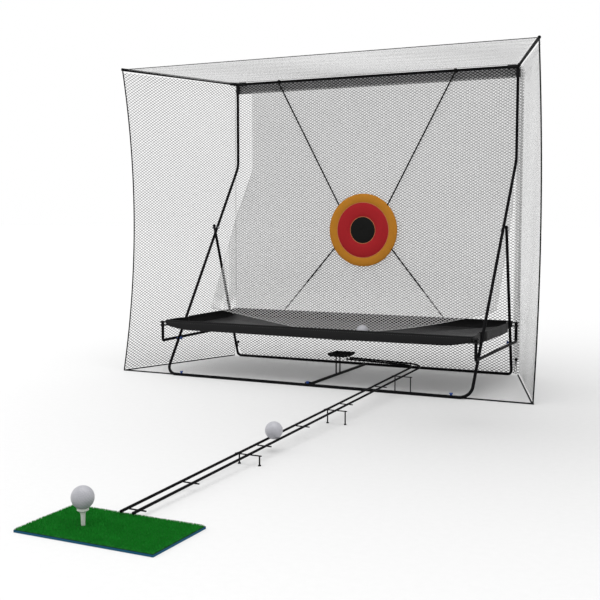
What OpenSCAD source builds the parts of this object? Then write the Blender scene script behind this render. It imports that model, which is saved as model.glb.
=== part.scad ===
// Golf chipping net: steel A-frame, net box, target, ball tray, return rail, mat, tee and balls.
// Millimetres, +Z up. The player stands at the -Y end and chips towards +Y.
// The origin is on the floor, under the middle of the object's box.
// Inside the modules Y counts from the front bar; placed() moves all of it to the origin.

/* [Frame] */
// Distance from the middle to each leg
leg_x = 552; // [450:1:650]
// Outside diameter of the frame tubes
tube_d = 10; // [8:0.5:14]
// Wall thickness of the frame tubes
tube_wall = 1; // [0.8:0.1:2]
// Height of the top bar
top_z = 1072; // [900:1:1300]
// How far the top bar lies behind the front bar
top_y = 522; // [420:1:620]
// Height of the bend in the legs
bend_z = 751; // [650:1:850]
// Height of the pivot between leg and strut
pivot_z = 515; // [450:1:600]
// How far the rear bar lies behind the front bar
rear_y = 512; // [420:1:620]
// Bend radius of the feet at the front corners
foot_r = 38; // [25:1:60]
// Bend radius of the feet at the rear corners
rear_r = 15; // [12:1:60]
// Bend radius at the top of the sloping part of a leg
bend_r = 60; // [30:1:120]
// Side offset of the struts at the pivot
strut_out = 11.5; // [11:0.1:16]
// Half width of the open front, at the arm tips
tip_x = 735; // [600:1:850]
// Height of the arm tips
tip_z = 1076; // [900:1:1300]
// How far the arm tips lie behind the front bar
tip_y = 16; // [0:1:100]

/* [Brackets and knobs] */
// Distance from the middle to each tray bracket
bracket_x = 566; // [560:1:600]
// Height of the lower bar of a bracket
bracket_z = 122; // [90:1:160]
// Height of the posts of a bracket
post_z = 191; // [160:1:240]
// Length of the brackets, post to post
bracket_len = 507; // [400:1:600]
// Diameter of a knob
knob_d = 11; // [10:0.5:20]
// Thickness of a knob
knob_h = 7; // [5:0.5:12]
// Diameter of the knob screws
screw_d = 4; // [3:0.5:6]

/* [Nets and ropes] */
// Width of a net strand
strand_w = 3; // [1.5:0.5:5]
// Thickness of a net
net_t = 1.4; // [1:0.1:3]
// Width of a diamond in the flat nets
cell_w = 150; // [100:5:250]
// Height of a diamond in the flat nets
cell_h = 96; // [60:2:160]
// Diameter of the ropes round the open front
rope_d = 5; // [3:0.5:8]
// How far the front side ropes are drawn back at mid height
rope_bow = 65; // [0:1:120]
// Height of the dark strip under the top bar
band_h = 30; // [10:1:60]
// Diameter of the elastic's end ball
bungee_d = 11; // [8:0.5:20]

/* [Target] */
// Outside diameter of the target
target_d = 270; // [200:1:400]
// Outside diameter of the red ring
red_d = 205; // [120:1:260]
// Diameter of the black centre
black_d = 99; // [60:1:150]
// Thickness of the target
target_t = 5; // [2:0.5:12]
// Height of the target's centre
target_z = 507; // [400:1:700]
// Diameter of the target's cords
cord_d = 5.5; // [3:0.5:6]

/* [Tray] */
// Half width of the tray
tray_x = 557; // [500:1:557]
// Height of the tray's rim
rim_z = 193; // [170:1:230]
// Depth of the tray's front lip
lip_h = 31; // [20:1:60]
// Height of the cloth round the outlet
outlet_z = 131; // [126:1:150]
// Diameter of the outlet hole
outlet_d = 62; // [50:1:90]
// Thickness of the cloth
cloth_t = 2; // [1:0.5:4]

/* [Return rail] */
// Diameter of the rail wires
wire_d = 6; // [3:0.5:8]
// Distance from the middle to the rail's centre line
rail_x = 315.25; // [250:0.25:400]
// Distance between the two wires, centre to centre
gauge = 27.5; // [24:0.5:36]
// Front end of the rail, in front of the front bar
rail_front = 1440; // [800:10:2000]
// Height of the wires at the front end
rail_z0 = 14.5; // [10:0.5:40]
// Rise of the rail in a thousand
rail_rise = 28.5; // [10:0.5:60]

/* [Mat, tee and balls] */
// Width of the mat
mat_w = 298; // [200:1:600]
// Depth of the mat
mat_l = 167; // [120:1:400]
// Left edge of the mat
mat_left = 175.5; // [0:0.5:400]
// Front edge of the mat, in front of the front bar
mat_front = 1587; // [1500:1:2500]
// Thickness of the mat's base
mat_base_t = 4.5; // [3:0.5:20]
// Thickness of the turf
turf_t = 6; // [3:0.5:12]
// Diameter of a golf ball
ball_d = 42.67; // [42.67:0.01:43]

/* [Hidden] */
$fn = 48;

r = tube_d / 2;
bore = tube_d - 2 * tube_wall;
floor_z = r;
bungee_y = 531.5;
shift_y = (mat_front - bungee_y - bungee_d / 2) / 2;
leg_run = top_y / (bend_z - floor_z);
pivot_y = leg_run * (pivot_z - floor_z);
strut_low = [leg_x - 1, rear_y, floor_z];
strut_at = [leg_x + strut_out, pivot_y, pivot_z];
strut_dir = (strut_at - strut_low) / norm(strut_at - strut_low);
arm_from = [leg_x, top_y, top_z];
arm_to = [tip_x, tip_y, tip_z];
arm_dir = (arm_to - arm_from) / norm(arm_to - arm_from);
spigot_x = 500;
front_knob_x = 490;
leg_knob_y = leg_run * (bracket_z - floor_z);
strut_k = (bracket_z - floor_z) / strut_dir.z;
strut_knob = strut_low + strut_dir * strut_k;
black = [0.10, 0.10, 0.11];
steel = [0.13, 0.13, 0.14];
blue = [0.10, 0.35, 0.75];
net_grey = [0.50, 0.50, 0.51];
rope_grey = [0.45, 0.45, 0.46];
ball_white = [0.86, 0.86, 0.88];
target_mid = [-13, 505.5, target_z];
rope_top = [tip_x - 0.5, tip_y + 2, tip_z - r - 0.3];
rope_low = [tip_x + 5, tip_y - 8, rope_d + 0.4];
net_back_y = 530.2;
net_rear_x = 566;
band_x = 562;
hit_y = 520;
hit_x = 545;
hit_top = 1062;
wire_r = wire_d / 2;
outer_x = rail_x + gauge / 2;
inner_x = rail_x - gauge / 2;
run_y = 228;
dish_z = 73;
dish_h = 11;
tray_hole = [17, 229];
ball_r = ball_d / 2;
tee_at = [275.5, -1517.5];
tee_top = 39.1;
mat_top = mat_base_t + turf_t;

// Small maths

function unit(v) = v / norm(v);
function turn(p, i) = acos(unit(p[i] - p[i - 1]) * unit(p[i + 1] - p[i]));
function trim(p, q, i) = i == 0 || i == len(p) - 1 ? 0 : q[i] * tan(turn(p, i) / 2);
function rail_z(y) = rail_z0 + rail_rise / 1000 * (y + rail_front);
function smooth(t) = t <= 0 ? 0 : t >= 1 ? 1 : t * t * (3 - 2 * t);
function rope_t(z) = (z - rope_low.z) / (rope_top.z - rope_low.z);
function rope_x(z) = rope_low.x + (rope_top.x - rope_low.x) * rope_t(z);
function rope_line(z) = rope_low.y + (rope_top.y - rope_low.y) * rope_t(z);
function rope_y(z) = rope_line(z) + 4 * rope_bow * rope_t(z) * (1 - rope_t(z));

// Rods and tubes

module frame_at(o, x, y, z) {
  multmatrix([
    [x.x, y.x, z.x, o.x],
    [x.y, y.y, z.y, o.y],
    [x.z, y.z, z.z, o.z],
    [0, 0, 0, 1]])
    children();
}

module bar(a, b, d) {
  z = unit(b - a);
  side = abs(z.z) > 0.9 ? [1, 0, 0] : [0, 0, 1];
  y = unit(cross(z, side));
  x = cross(y, z);
  frame_at(a, x, y, z)
    cylinder(h = norm(b - a), d = d);
}

// A bend a hair thicker than the straight parts, whose ends run 0.3 mm into it
module elbow(p, i, q, d) {
  u = unit(p[i] - p[i - 1]);
  w = unit(p[i + 1] - p[i]);
  n = unit(cross(u, w));
  m = cross(n, u);
  centre = p[i] - u * trim(p, q, i) + m * q[i];
  frame_at(centre, -m, u, n)
    rotate_extrude(angle = turn(p, i), $fn = 96)
      translate([q[i], 0])
        circle(d = d + 0.06);
}

// A bent rod along the points p with bend radii q, drawn out by e0 and e1 at its ends
module path_rod(p, q, d, e0 = 0, e1 = 0) {
  for (i = [0 : len(p) - 2]) {
    u = unit(p[i + 1] - p[i]);
    first = i == 0 ? e0 : 0.3;
    last = i == len(p) - 2 ? e1 : 0.3;
    a = p[i] + u * (trim(p, q, i) - first);
    b = p[i + 1] - u * (trim(p, q, i + 1) - last);
    bar(a, b, d);
  }
  if (len(p) > 2) {
    for (i = [1 : len(p) - 2])
      elbow(p, i, q, d);
  }
}

// A bent tube, open at both ends or shut there with a plug of that length
module path_tube(p, q, d, wall, shut0 = 0, shut1 = 0) {
  difference() {
    path_rod(p, q, d);
    path_rod(p, q, d - 2 * wall, shut0 > 0 ? -shut0 : 1, shut1 > 0 ? -shut1 : 1);
  }
}

module placed() {
  translate([0, shift_y, 0])
    children();
}

// +1 is the right side, -1 the left side
module side(s) {
  if (s > 0)
    children();
  else
    mirror([1, 0, 0])
      children();
}

// Frame

module front_bar() {
  color(steel)
    placed()
      difference() {
        path_tube([[-spigot_x, 0, floor_z], [spigot_x, 0, floor_z]], [0, 0], tube_d, tube_wall);
        for (x = [-front_knob_x, 0, front_knob_x])
          translate([x, 0, floor_z])
            cylinder(h = r + 1, d = screw_d + 0.1);
        translate([0, 0, floor_z])
          rotate([-90, 0, 0])
            cylinder(h = r + 1, d = 6.1);
      }
}

module leg(s) {
  p = [[spigot_x + 0.3, 0, floor_z], [leg_x, 0, floor_z], [leg_x, top_y, bend_z],
    [leg_x, top_y, top_z - 12]];
  color(steel)
    placed()
      side(s)
        difference() {
          union() {
            path_tube(p, [0, foot_r, bend_r, 0], tube_d, tube_wall);
            bar([462, 0, floor_z], [spigot_x + 2, 0, floor_z], bore - 0.1);
            bar([spigot_x + 1, 0, floor_z], [spigot_x + 9, 0, floor_z], bore + 0.6);
          }
          translate([front_knob_x, 0, floor_z - 1.5])
            cylinder(h = 10, d = screw_d + 0.1);
          translate([leg_x - 10, pivot_y, pivot_z])
            rotate([0, 90, 0])
              cylinder(h = 20, d = 5.1);
          translate([leg_x - 10, leg_knob_y, bracket_z])
            rotate([0, 90, 0])
              cylinder(h = 20, d = screw_d + 0.1);
        }
}

module leg_left() {
  leg(-1);
}

module leg_right() {
  leg(1);
}

module top_bar() {
  color(steel)
    placed()
      path_tube([[12 - leg_x, top_y, top_z], [leg_x - 12, top_y, top_z]], [0, 0], tube_d, tube_wall);
}

module top_corner(s) {
  c = arm_from;
  color(black)
    placed()
      side(s)
        difference() {
          union() {
            translate(c)
              sphere(d = tube_d + 4);
            bar(c, c - [0, 0, 36], tube_d + 3);
            bar(c, c - [36, 0, 0], tube_d + 3);
            bar(c, c + arm_dir * 36, tube_d + 3);
          }
          bar(c - [0, 0, 11.8], c - [0, 0, 40], tube_d + 0.1);
          bar(c - [11.8, 0, 0], c - [40, 0, 0], tube_d + 0.1);
          bar(c + arm_dir * 11.8, c + arm_dir * 40, tube_d + 0.1);
        }
}

module top_corner_left() {
  top_corner(-1);
}

module top_corner_right() {
  top_corner(1);
}

module arm(s) {
  color(steel)
    placed()
      side(s)
        path_tube([arm_from + arm_dir * 12, arm_to + arm_dir * 1.5], [0, 0], tube_d, tube_wall, 0, 4);
}

module arm_left() {
  arm(-1);
}

module arm_right() {
  arm(1);
}

module rear_bar() {
  color(steel)
    placed()
      difference() {
        path_tube([[-spigot_x, rear_y, floor_z], [spigot_x, rear_y, floor_z]], [0, 0], tube_d, tube_wall);
        translate([0, rear_y, floor_z])
          rotate([90, 0, 0])
            cylinder(h = r + 1, d = 6.1);
      }
}

module strut(s) {
  p = [[spigot_x + 0.3, rear_y, floor_z], strut_low, strut_at + strut_dir * 12];
  color(steel)
    placed()
      side(s)
        difference() {
          union() {
            path_tube(p, [0, rear_r, 0], tube_d, tube_wall, 0, 3);
            bar([462, rear_y, floor_z], [spigot_x + 2, rear_y, floor_z], bore - 0.1);
            bar([spigot_x + 1, rear_y, floor_z], [spigot_x + 9, rear_y, floor_z], bore + 0.6);
          }
          translate([leg_x, pivot_y, pivot_z])
            rotate([0, 90, 0])
              cylinder(h = 30, d = 5.1);
          translate([leg_x - 12, strut_knob.y, bracket_z])
            rotate([0, 90, 0])
              cylinder(h = 24, d = screw_d + 0.1);
        }
}

module strut_left() {
  strut(-1);
}

module strut_right() {
  strut(1);
}

module pivot_bolts() {
  color([0.35, 0.35, 0.37])
    placed()
      for (s = [-1, 1])
        side(s)
          translate([0, pivot_y, pivot_z])
            rotate([0, 90, 0]) {
              translate([0, 0, leg_x - r - 0.3])
                cylinder(h = strut_out + tube_d + 0.6, d = 5);
              translate([0, 0, leg_x - r - 3])
                cylinder(h = 2.9, d = 9);
              translate([0, 0, leg_x + strut_out + r + 0.1])
                cylinder(h = 3.4, d = 9, $fn = 6);
            }
}

module centre_bar() {
  color(steel)
    placed()
      difference() {
        union() {
          path_tube([[0, r + 0.2, floor_z], [0, rear_y - r - 0.2, floor_z]], [0, 0], tube_d, tube_wall);
          bar([0, -2, floor_z], [0, 8, floor_z], 6);
          bar([0, r + 0.2, floor_z], [0, r + 4, floor_z], bore + 0.6);
          bar([0, rear_y - 8, floor_z], [0, rear_y + 2, floor_z], 6);
          bar([0, rear_y - r - 4, floor_z], [0, rear_y - r - 0.2, floor_z], bore + 0.6);
        }
        translate([0, 0, 3])
          cylinder(h = 10, d = screw_d + 0.1);
        for (y = [234, 267])
          translate([0, y, floor_z])
            cylinder(h = 10, d = 5.1);
      }
}

module bracket(s) {
  p = [[bracket_x, 0, post_z], [bracket_x, 0, bracket_z], [bracket_x, bracket_len, bracket_z],
    [bracket_x, bracket_len, post_z]];
  color(steel)
    placed()
      side(s)
        difference() {
          path_tube(p, [0, 8, 8, 0], tube_d, tube_wall, 3, 3);
          for (y = [leg_knob_y, strut_knob.y])
            translate([bracket_x - 10, y, bracket_z])
              rotate([0, 90, 0])
                cylinder(h = 10, d = screw_d + 0.1);
        }
}

module bracket_left() {
  bracket(-1);
}

module bracket_right() {
  bracket(1);
}

// A fluted knob with its screw, along +Z from the tube's surface
module knob(screw_len) {
  color(blue) {
    difference() {
      rotate_extrude()
        polygon([[0, 0], [3.2, 0], [3.5, 0.5], [knob_d / 2, knob_h - 2], [knob_d / 2, knob_h - 0.7],
          [knob_d / 2 - 0.8, knob_h], [0, knob_h]]);
      for (i = [0 : 7])
        rotate([0, 0, i * 45])
          translate([knob_d / 2 + 0.9, 0, -1])
            cylinder(h = knob_h + 2, d = 2.8, $fn = 24);
    }
    translate([0, 0, -screw_len])
      cylinder(h = screw_len + 1, d = screw_d);
  }
}

module knob_front(x) {
  placed()
    translate([x, 0, tube_d + 0.3])
      knob(5.5);
}

module knob_front_left() {
  knob_front(-front_knob_x);
}

module knob_front_middle() {
  knob_front(0);
}

module knob_front_right() {
  knob_front(front_knob_x);
}

module knob_leg(s) {
  placed()
    side(s)
      translate([leg_x - r - 0.3, leg_knob_y, bracket_z])
        rotate([0, -90, 0])
          knob(bracket_x - leg_x + r + 0.3);
}

module knob_leg_left() {
  knob_leg(-1);
}

module knob_leg_right() {
  knob_leg(1);
}

module knob_strut(s) {
  placed()
    side(s)
      translate([strut_knob.x - r - 0.5, strut_knob.y, bracket_z])
        rotate([0, -90, 0])
          knob(bracket_x - strut_knob.x + r + 0.5);
}

module knob_strut_left() {
  knob_strut(-1);
}

module knob_strut_right() {
  knob_strut(1);
}

// Nets

// Diamond holes of a flat net, centred on the middle of a w by h field
module diamonds(w, h) {
  a = cell_w / 2;
  b = cell_h / 2;
  near = a * b / norm([a, b]);
  k = (near - strand_w / 2) / near;
  nx = ceil(w / cell_w) + 1;
  ny = ceil(h / cell_h) + 1;
  for (i = [-2 * nx : 2 * nx])
    for (j = [-ny : ny])
      if ((i + j) % 2 == 0)
        if (abs(i * a) < w / 2 + a && abs(j * b) < h / 2 + b)
          translate([i * a, j * b])
            polygon([[-a * k, 0], [0, -b * k], [a * k, 0], [0, b * k]]);
}

module flat_net(rim, field, w, h) {
  linear_extrude(height = net_t)
    difference() {
      polygon(rim);
      intersection() {
        polygon(field);
        diamonds(w, h);
      }
    }
}

// Points and faces of a warped net: crossings lie on grid points whose indices add up to even,
// and every other grid point is the middle of a diamond, cut in half along the rim
function corners(i, j, nu, nv) = [
  if (i > 0) [i - 1, j],
  if (j > 0) [i, j - 1],
  if (i < nu) [i + 1, j],
  if (j < nv) [i, j + 1]];
function hole(i, j, k, nu, nv) = let (c = corners(i, j, nu, nv), n = len(c))
  k < n ? let (m = [for (a = [0, 1]) [for (p = c) p[a]] * [for (p = c) 1] / n])
    m + (c[k] - m) * 0.955 : [i, j];
function on_rim(p, q, nu, nv) = p.x == q.x && (p.x == 0 || p.x == nu)
  || p.y == q.y && (p.y == 0 || p.y == nv);

module warped_net(nu, nv, f, n) {
  mids = [for (i = [0 : nu]) for (j = [0 : nv]) if ((i + j) % 2 == 1) [i, j]];
  flat = [
    for (i = [0 : nu]) for (j = [0 : nv]) [i, j],
    for (i = [0 : nu]) for (j = [0 : nv]) for (k = [0 : 3]) hole(i, j, k, nu, nv)];
  size = len(flat);
  front = [for (p = flat) f(p.x / nu, p.y / nv) + n * net_t / 2];
  back = [for (p = flat) f(p.x / nu, p.y / nv) - n * net_t / 2];
  base = (nu + 1) * (nv + 1);
  faces = [for (c = mids)
    let (o = corners(c.x, c.y, nu, nv), m = len(o))
      for (k = [0 : m - 1])
        let (
          l = (k + 1) % m,
          p = o[k].x * (nv + 1) + o[k].y,
          q = o[l].x * (nv + 1) + o[l].y,
          s = base + 4 * (c.x * (nv + 1) + c.y) + k,
          t = base + 4 * (c.x * (nv + 1) + c.y) + l)
          each [
            [p, s, t], [p, t, q],
            [size + p, size + t, size + s], [size + p, size + q, size + t],
            [s, size + s, size + t], [s, size + t, t],
            if (on_rim(o[k], o[l], nu, nv)) each [[p, q, size + q], [p, size + q, size + p]]]];
  polyhedron(points = concat(front, back), faces = faces, convexity = 10);
}

module net_top() {
  z0 = top_z - net_t / 2;
  lean = atan((tip_z - top_z) / (top_y - tip_y));
  run = (tip_x - leg_x) / (top_y - tip_y);
  deep = top_y - 8 - 20.6;
  wide = leg_x - 9 + run * 8;
  front = wide + run * deep;
  color(net_grey)
    placed()
      translate([0, top_y - 8, z0])
        rotate([-lean, 0, 0])
          mirror([0, 1, 0])
            flat_net(
              [[-wide, 0], [wide, 0], [front, deep], [-front, deep]],
              [[-wide + 5, 4], [wide - 5, 4], [front - 6, deep - 4], [6 - front, deep - 4]],
              2 * front, 2 * deep);
}

module net_back() {
  w = net_rear_x - 2;
  color(net_grey)
    placed()
      translate([0, net_back_y + net_t / 2, 0])
        rotate([90, 0, 0])
          flat_net(
            [[-518, 1], [518, 1], [w, 90], [w, top_z - 2], [-w, top_z - 2], [-w, 90]],
            [[-515, 5], [515, 5], [w - 4, 91], [w - 4, top_z - 6], [4 - w, top_z - 6], [4 - w, 91]],
            2 * w, 2 * top_z);
}

module net_floor() {
  color(net_grey)
    placed()
      for (s = [-1, 1])
        side(s)
          flat_net(
            [[6.5, 14], [726, 14], [566, 502], [6.5, 502]],
            [[10.5, 18], [721, 18], [563, 498], [10.5, 498]],
            1460, 1000);
}

side_net = function (s) function (u, v)
  let (
    z = 7 + v * (tip_z - 12 - 7),
    x0 = rope_x(z) - 1.2,
    y0 = rope_y(z) + 3.6,
    x1 = net_rear_x + 9 * smooth((280 - z) / 80),
    y1 = net_back_y - 3)
    [s * (x0 + (x1 - x0) * u), y0 + (y1 - y0) * u, z];

module net_left() {
  color(net_grey)
    placed()
      warped_net(6, 16, side_net(-1), [1, 0, 0]);
}

module net_right() {
  color(net_grey)
    placed()
      warped_net(6, 16, side_net(1), [1, 0, 0]);
}

// The hitting net hangs upright behind the target, comes forward along the legs at its
// sides and below the target in the middle, and its curved lower edge dips into the tray
function soft(a, z, k) = z > a + k ? 0 : z < a - k ? a - z : pow(a + k - z, 2) / (4 * k);
function hit_side(z) = hit_y - 0.58 * soft(600, z, 40);
function hit_mid(z) = hit_y - 2 - 0.000022 * pow(max(0, 352 - z), 3);
function hit_low(x) = 145.5 + 0.00028 * pow(x + 55, 2);
hitting_net = function (u, v)
  let (
    left = -hit_x + 60 * smooth((0.55 - v) / 0.25),
    x = left + (hit_x - left) * u,
    z = hit_top - v * (hit_top - hit_low(x)),
    w = 1 - pow(abs(x) / hit_x, 3.2))
    [x, hit_side(z) + (hit_mid(z) - hit_side(z)) * w, z];

module net_hitting() {
  color(net_grey)
    placed()
      warped_net(14, 16, hitting_net, [0, 1, 0]);
}

module top_band() {
  color(black)
    placed()
      translate([-band_x, net_back_y + 2, top_z - r - 1.5 - band_h])
        cube([2 * band_x, 1, band_h]);
}

// Ropes

module rope_front_top() {
  y = tip_y + 2;
  x = leg_x + (top_y - y) * (tip_x - leg_x) / (top_y - tip_y) - 6;
  color(rope_grey)
    placed()
      bar([-x, y, tip_z], [x, y, tip_z], 2.6);
}

// Drawn back in one even curve between the arm tip and the floor
module rope_front(s) {
  half = norm(rope_top - rope_low) / 2;
  mid = (rope_top + rope_low) / 2 + [0, 2 * rope_bow, 0];
  half_turn = atan(2 * rope_bow / half);
  bend = 0.985 * half / cos(half_turn) / tan(half_turn);
  color(rope_grey)
    placed()
      side(s)
        path_rod([rope_low, mid, rope_top], [0, bend, 0], rope_d);
}

module rope_front_left() {
  rope_front(-1);
}

module rope_front_right() {
  rope_front(1);
}

module rope_bottom_front() {
  y = 9.4;
  z = rope_d / 2 + 0.1;
  hump = tube_d + rope_d / 2 + 0.3;
  p = [[-742.5, y, z], [-19, y, z], [-10, y, hump], [10, y, hump], [19, y, z], [742.5, y, z]];
  color(rope_grey)
    placed()
      path_rod(p, [0, 4, 4, 4, 4, 0], rope_d);
}

module rope_bottom(s) {
  z = rope_d / 2 + 0.1;
  color(rope_grey)
    placed()
      side(s)
        bar([736.5, 12.6, z], [572, 521, z], rope_d);
}

module rope_bottom_left() {
  rope_bottom(-1);
}

module rope_bottom_right() {
  rope_bottom(1);
}

// Ball-ended elastics that draw the net's rear corners to the frame
module bungees() {
  c = [leg_x + 10, bungee_y, 55];
  color(black)
    placed()
      for (s = [-1, 1])
        side(s) {
          translate(c)
            sphere(d = bungee_d);
          bar(c - [1, 2, 4], [leg_x + 5.5, rear_y + 8, 9], 2.4);
          bar(c - [0, 1, 4], [leg_x + 11, rear_y + 13, 4.5], 2.4);
        }
}

// Target and its cords

module ring(d, hole_d) {
  translate(target_mid)
    rotate([-90, 0, 0])
      difference() {
        cylinder(h = target_t, d = d, center = true, $fn = 96);
        cylinder(h = target_t + 2, d = hole_d, center = true, $fn = 96);
      }
}

module target_outer() {
  color([0.85, 0.50, 0.10])
    placed()
      ring(target_d, red_d + 0.2);
}

module target_red() {
  color([0.70, 0.10, 0.14])
    placed()
      ring(red_d, black_d + 0.2);
}

module target_black() {
  color(black)
    placed()
      translate(target_mid)
        rotate([-90, 0, 0])
          cylinder(h = target_t, d = black_d, center = true, $fn = 96);
}

function rim_at(x, z) = target_mid
  + unit([x - target_mid.x, 0, z - target_mid.z]) * (target_d / 2 + 1.6);

module cord_upper(s) {
  color(black)
    placed()
      bar(rim_at(target_mid.x + s * 97, target_z + 92), [s * 350 - 18, top_y - 8, top_z - 4], cord_d);
}

module cord_upper_left() {
  cord_upper(-1);
}

module cord_upper_right() {
  cord_upper(1);
}

module cord_lower(s) {
  color(black)
    placed()
      bar(rim_at(target_mid.x + s * 119, target_z - 71), [s * 320 - 19, 505.5, rim_z + 3], cord_d);
}

module cord_lower_left() {
  cord_lower(-1);
}

module cord_lower_right() {
  cord_lower(1);
}

// Tray and outlet

module tray_shape(t) {
  hull() {
    for (x = [-tray_x + t, tray_x - t])
      for (y = [0.5 + t, bracket_len - 0.5 - t])
        translate([x, y, rim_z - lip_h + 0.6 * t])
          cylinder(h = lip_h + (t > 0 ? 2 : 0), d = 0.5, $fn = 8);
    translate([tray_hole.x, tray_hole.y, outlet_z + t])
      cylinder(h = 1, d = outlet_d + 14 - t, $fn = 32);
  }
}

module tray() {
  color(black)
    placed()
      difference() {
        tray_shape(0);
        tray_shape(cloth_t);
        translate([tray_hole.x, tray_hole.y, outlet_z - 5])
          cylinder(h = 20, d = outlet_d);
        for (s = [-1, 1])
          side(s) {
            translate([leg_x - 8, 74, 100])
              cube([20, 70, rim_z]);
            translate([leg_x - 8, 446, 100])
              cube([20, 38, rim_z]);
          }
      }
}

module tray_loops() {
  color(black)
    placed()
      for (s = [-1, 1])
        for (y = [0, bracket_len])
          side(s)
            translate([bracket_x, y, post_z - 8])
              rotate_extrude()
                translate([6.6, 0])
                  circle(d = 2.4);
}

// The shallow dish under the outlet, with flared walls and a gap where the rail starts
module dish(z0, z1, lo, hi) {
  hull() {
    translate([lo[0], lo[1], z0])
      cube([lo[2] - lo[0], lo[3] - lo[1], 0.1]);
    translate([hi[0], hi[1], z1 - 0.1])
      cube([hi[2] - hi[0], hi[3] - hi[1], 0.1]);
  }
}

module funnel() {
  color(black)
    placed()
      difference() {
        dish(dish_z, dish_z + dish_h, [-11, 200, 51, 271], [-17, 194, 57, 273]);
        dish(dish_z + 1.6, dish_z + dish_h + 1, [-9.3, 201.7, 49.3, 269.3], [-15.8, 195.2, 55.8, 271.6]);
        translate([44, run_y - gauge - 4.5, dish_z + 1.6])
          cube([20, gauge + 14, dish_h]);
      }
}

module funnel_posts() {
  color(steel)
    placed()
      for (y = [234, 267])
        translate([0, y, 7])
          cylinder(h = dish_z - 7, d = 5);
}

// Return rail

module rail_wire(x, y, end_x, bend) {
  z1 = rail_z(y);
  color(steel)
    placed()
      path_rod([[x, -rail_front, rail_z(-rail_front)], [x, y, z1],
        [end_x, y, z1 + 0.0275 * (x - end_x)]], [0, bend, 0], wire_d);
}

module rail_outer() {
  rail_wire(outer_x, run_y, 54, 66);
}

module rail_inner() {
  rail_wire(inner_x, run_y - gauge, 54, 66 - gauge);
}

module rail_ties() {
  color(steel)
    placed()
      for (y = [-1409, -1221, -902, -695, -415, -153])
        bar([inner_x - 2.5, y, rail_z(y) - wire_r - 1.55],
          [outer_x + 7.5, y, rail_z(y) - wire_r - 1.55], 3);
}

// A wire stand: cross wire under the rail, two legs and two small feet
module rail_support(y, foot_z) {
  z = rail_z(y) - wire_r - 1.55;
  color(steel)
    placed() {
      bar([286, y, z], [354, y, z], 3);
      for (x = [297, 349]) {
        bar([x, y, foot_z + 1], [x, y, z], 3.6);
        translate([x, y, foot_z])
          cylinder(h = 2.5, d = 7);
      }
      translate([291.5, y, z])
        sphere(d = 6);
    }
}

module rail_support_front() {
  rail_support(-984, 0);
}

module rail_support_middle() {
  rail_support(-497, 0);
}

module rail_support_rear() {
  rail_support(25, net_t + 0.3);
}

// Mat, tee and balls

module mat_slab(z, t) {
  difference() {
    translate([mat_left, -mat_front, z])
      cube([mat_w, mat_l, t]);
    translate([tee_at.x, tee_at.y, z - 1])
      cylinder(h = t + 2, d = 8.1);
  }
}

module mat_base() {
  color([0.08, 0.30, 0.55])
    placed()
      mat_slab(0, mat_base_t);
}

module mat_turf() {
  color([0.12, 0.45, 0.15])
    placed()
      mat_slab(mat_base_t + 0.02, turf_t - 0.02);
}

module tee() {
  color([0.92, 0.92, 0.92])
    placed()
      translate([tee_at.x, tee_at.y, 0])
        rotate_extrude()
          polygon([[0, 0.3], [3.8, 0.3], [3.85, 12], [4.4, 28], [5.4, 31], [9.2, tee_top - 4.4], [10.8, tee_top - 4],
            [10.8, tee_top], [9.5, tee_top], [9.5, tee_top - 2.6], [4, tee_top - 5.5], [0, tee_top - 5.5]]);
}

module ball(p) {
  color(ball_white)
    placed()
      translate(p)
        sphere(d = ball_d, $fn = 96);
}

module ball_tee() {
  ball([tee_at.x, tee_at.y, tee_top + 0.25 + sqrt(ball_r * ball_r - 9.5 * 9.5)]);
}

module ball_rail() {
  up = sqrt(pow(ball_r + wire_r + 0.05, 2) - gauge * gauge / 4);
  ball([rail_x, -848.7, rail_z(-848.7) + up]);
}

module ball_tray() {
  ball([76.7, 286.3, 157.6]);
}

front_bar();
leg_left();
leg_right();
top_bar();
top_corner_left();
top_corner_right();
arm_left();
arm_right();
rear_bar();
strut_left();
strut_right();
pivot_bolts();
centre_bar();
bracket_left();
bracket_right();
knob_front_left();
knob_front_middle();
knob_front_right();
knob_leg_left();
knob_leg_right();
knob_strut_left();
knob_strut_right();
net_top();
net_left();
net_right();
net_back();
net_floor();
net_hitting();
top_band();
rope_front_top();
rope_front_left();
rope_front_right();
rope_bottom_front();
rope_bottom_left();
rope_bottom_right();
bungees();
tray();
tray_loops();
target_outer();
target_red();
target_black();
cord_upper_left();
cord_upper_right();
cord_lower_left();
cord_lower_right();
funnel();
funnel_posts();
rail_outer();
rail_inner();
rail_ties();
rail_support_front();
rail_support_middle();
rail_support_rear();
mat_base();
mat_turf();
tee();
ball_tee();
ball_rail();
ball_tray();
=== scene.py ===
# %% [markdown]
# # A golf chipping net
# The real object is a light frame of black steel tube with a box of grey net on it. A second
# net and a ring target hang inside, and a cloth tray under them sends the balls back along a
# wire rail to a turf mat. The tubes, wires and knobs come from the CAD model and only need a
# finish. Everything soft is made here: a CAD solid can hold a net's place, but not its strands.

import math

import bmesh
import bpy
from mathutils import Matrix, Vector, kdtree, noise


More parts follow.
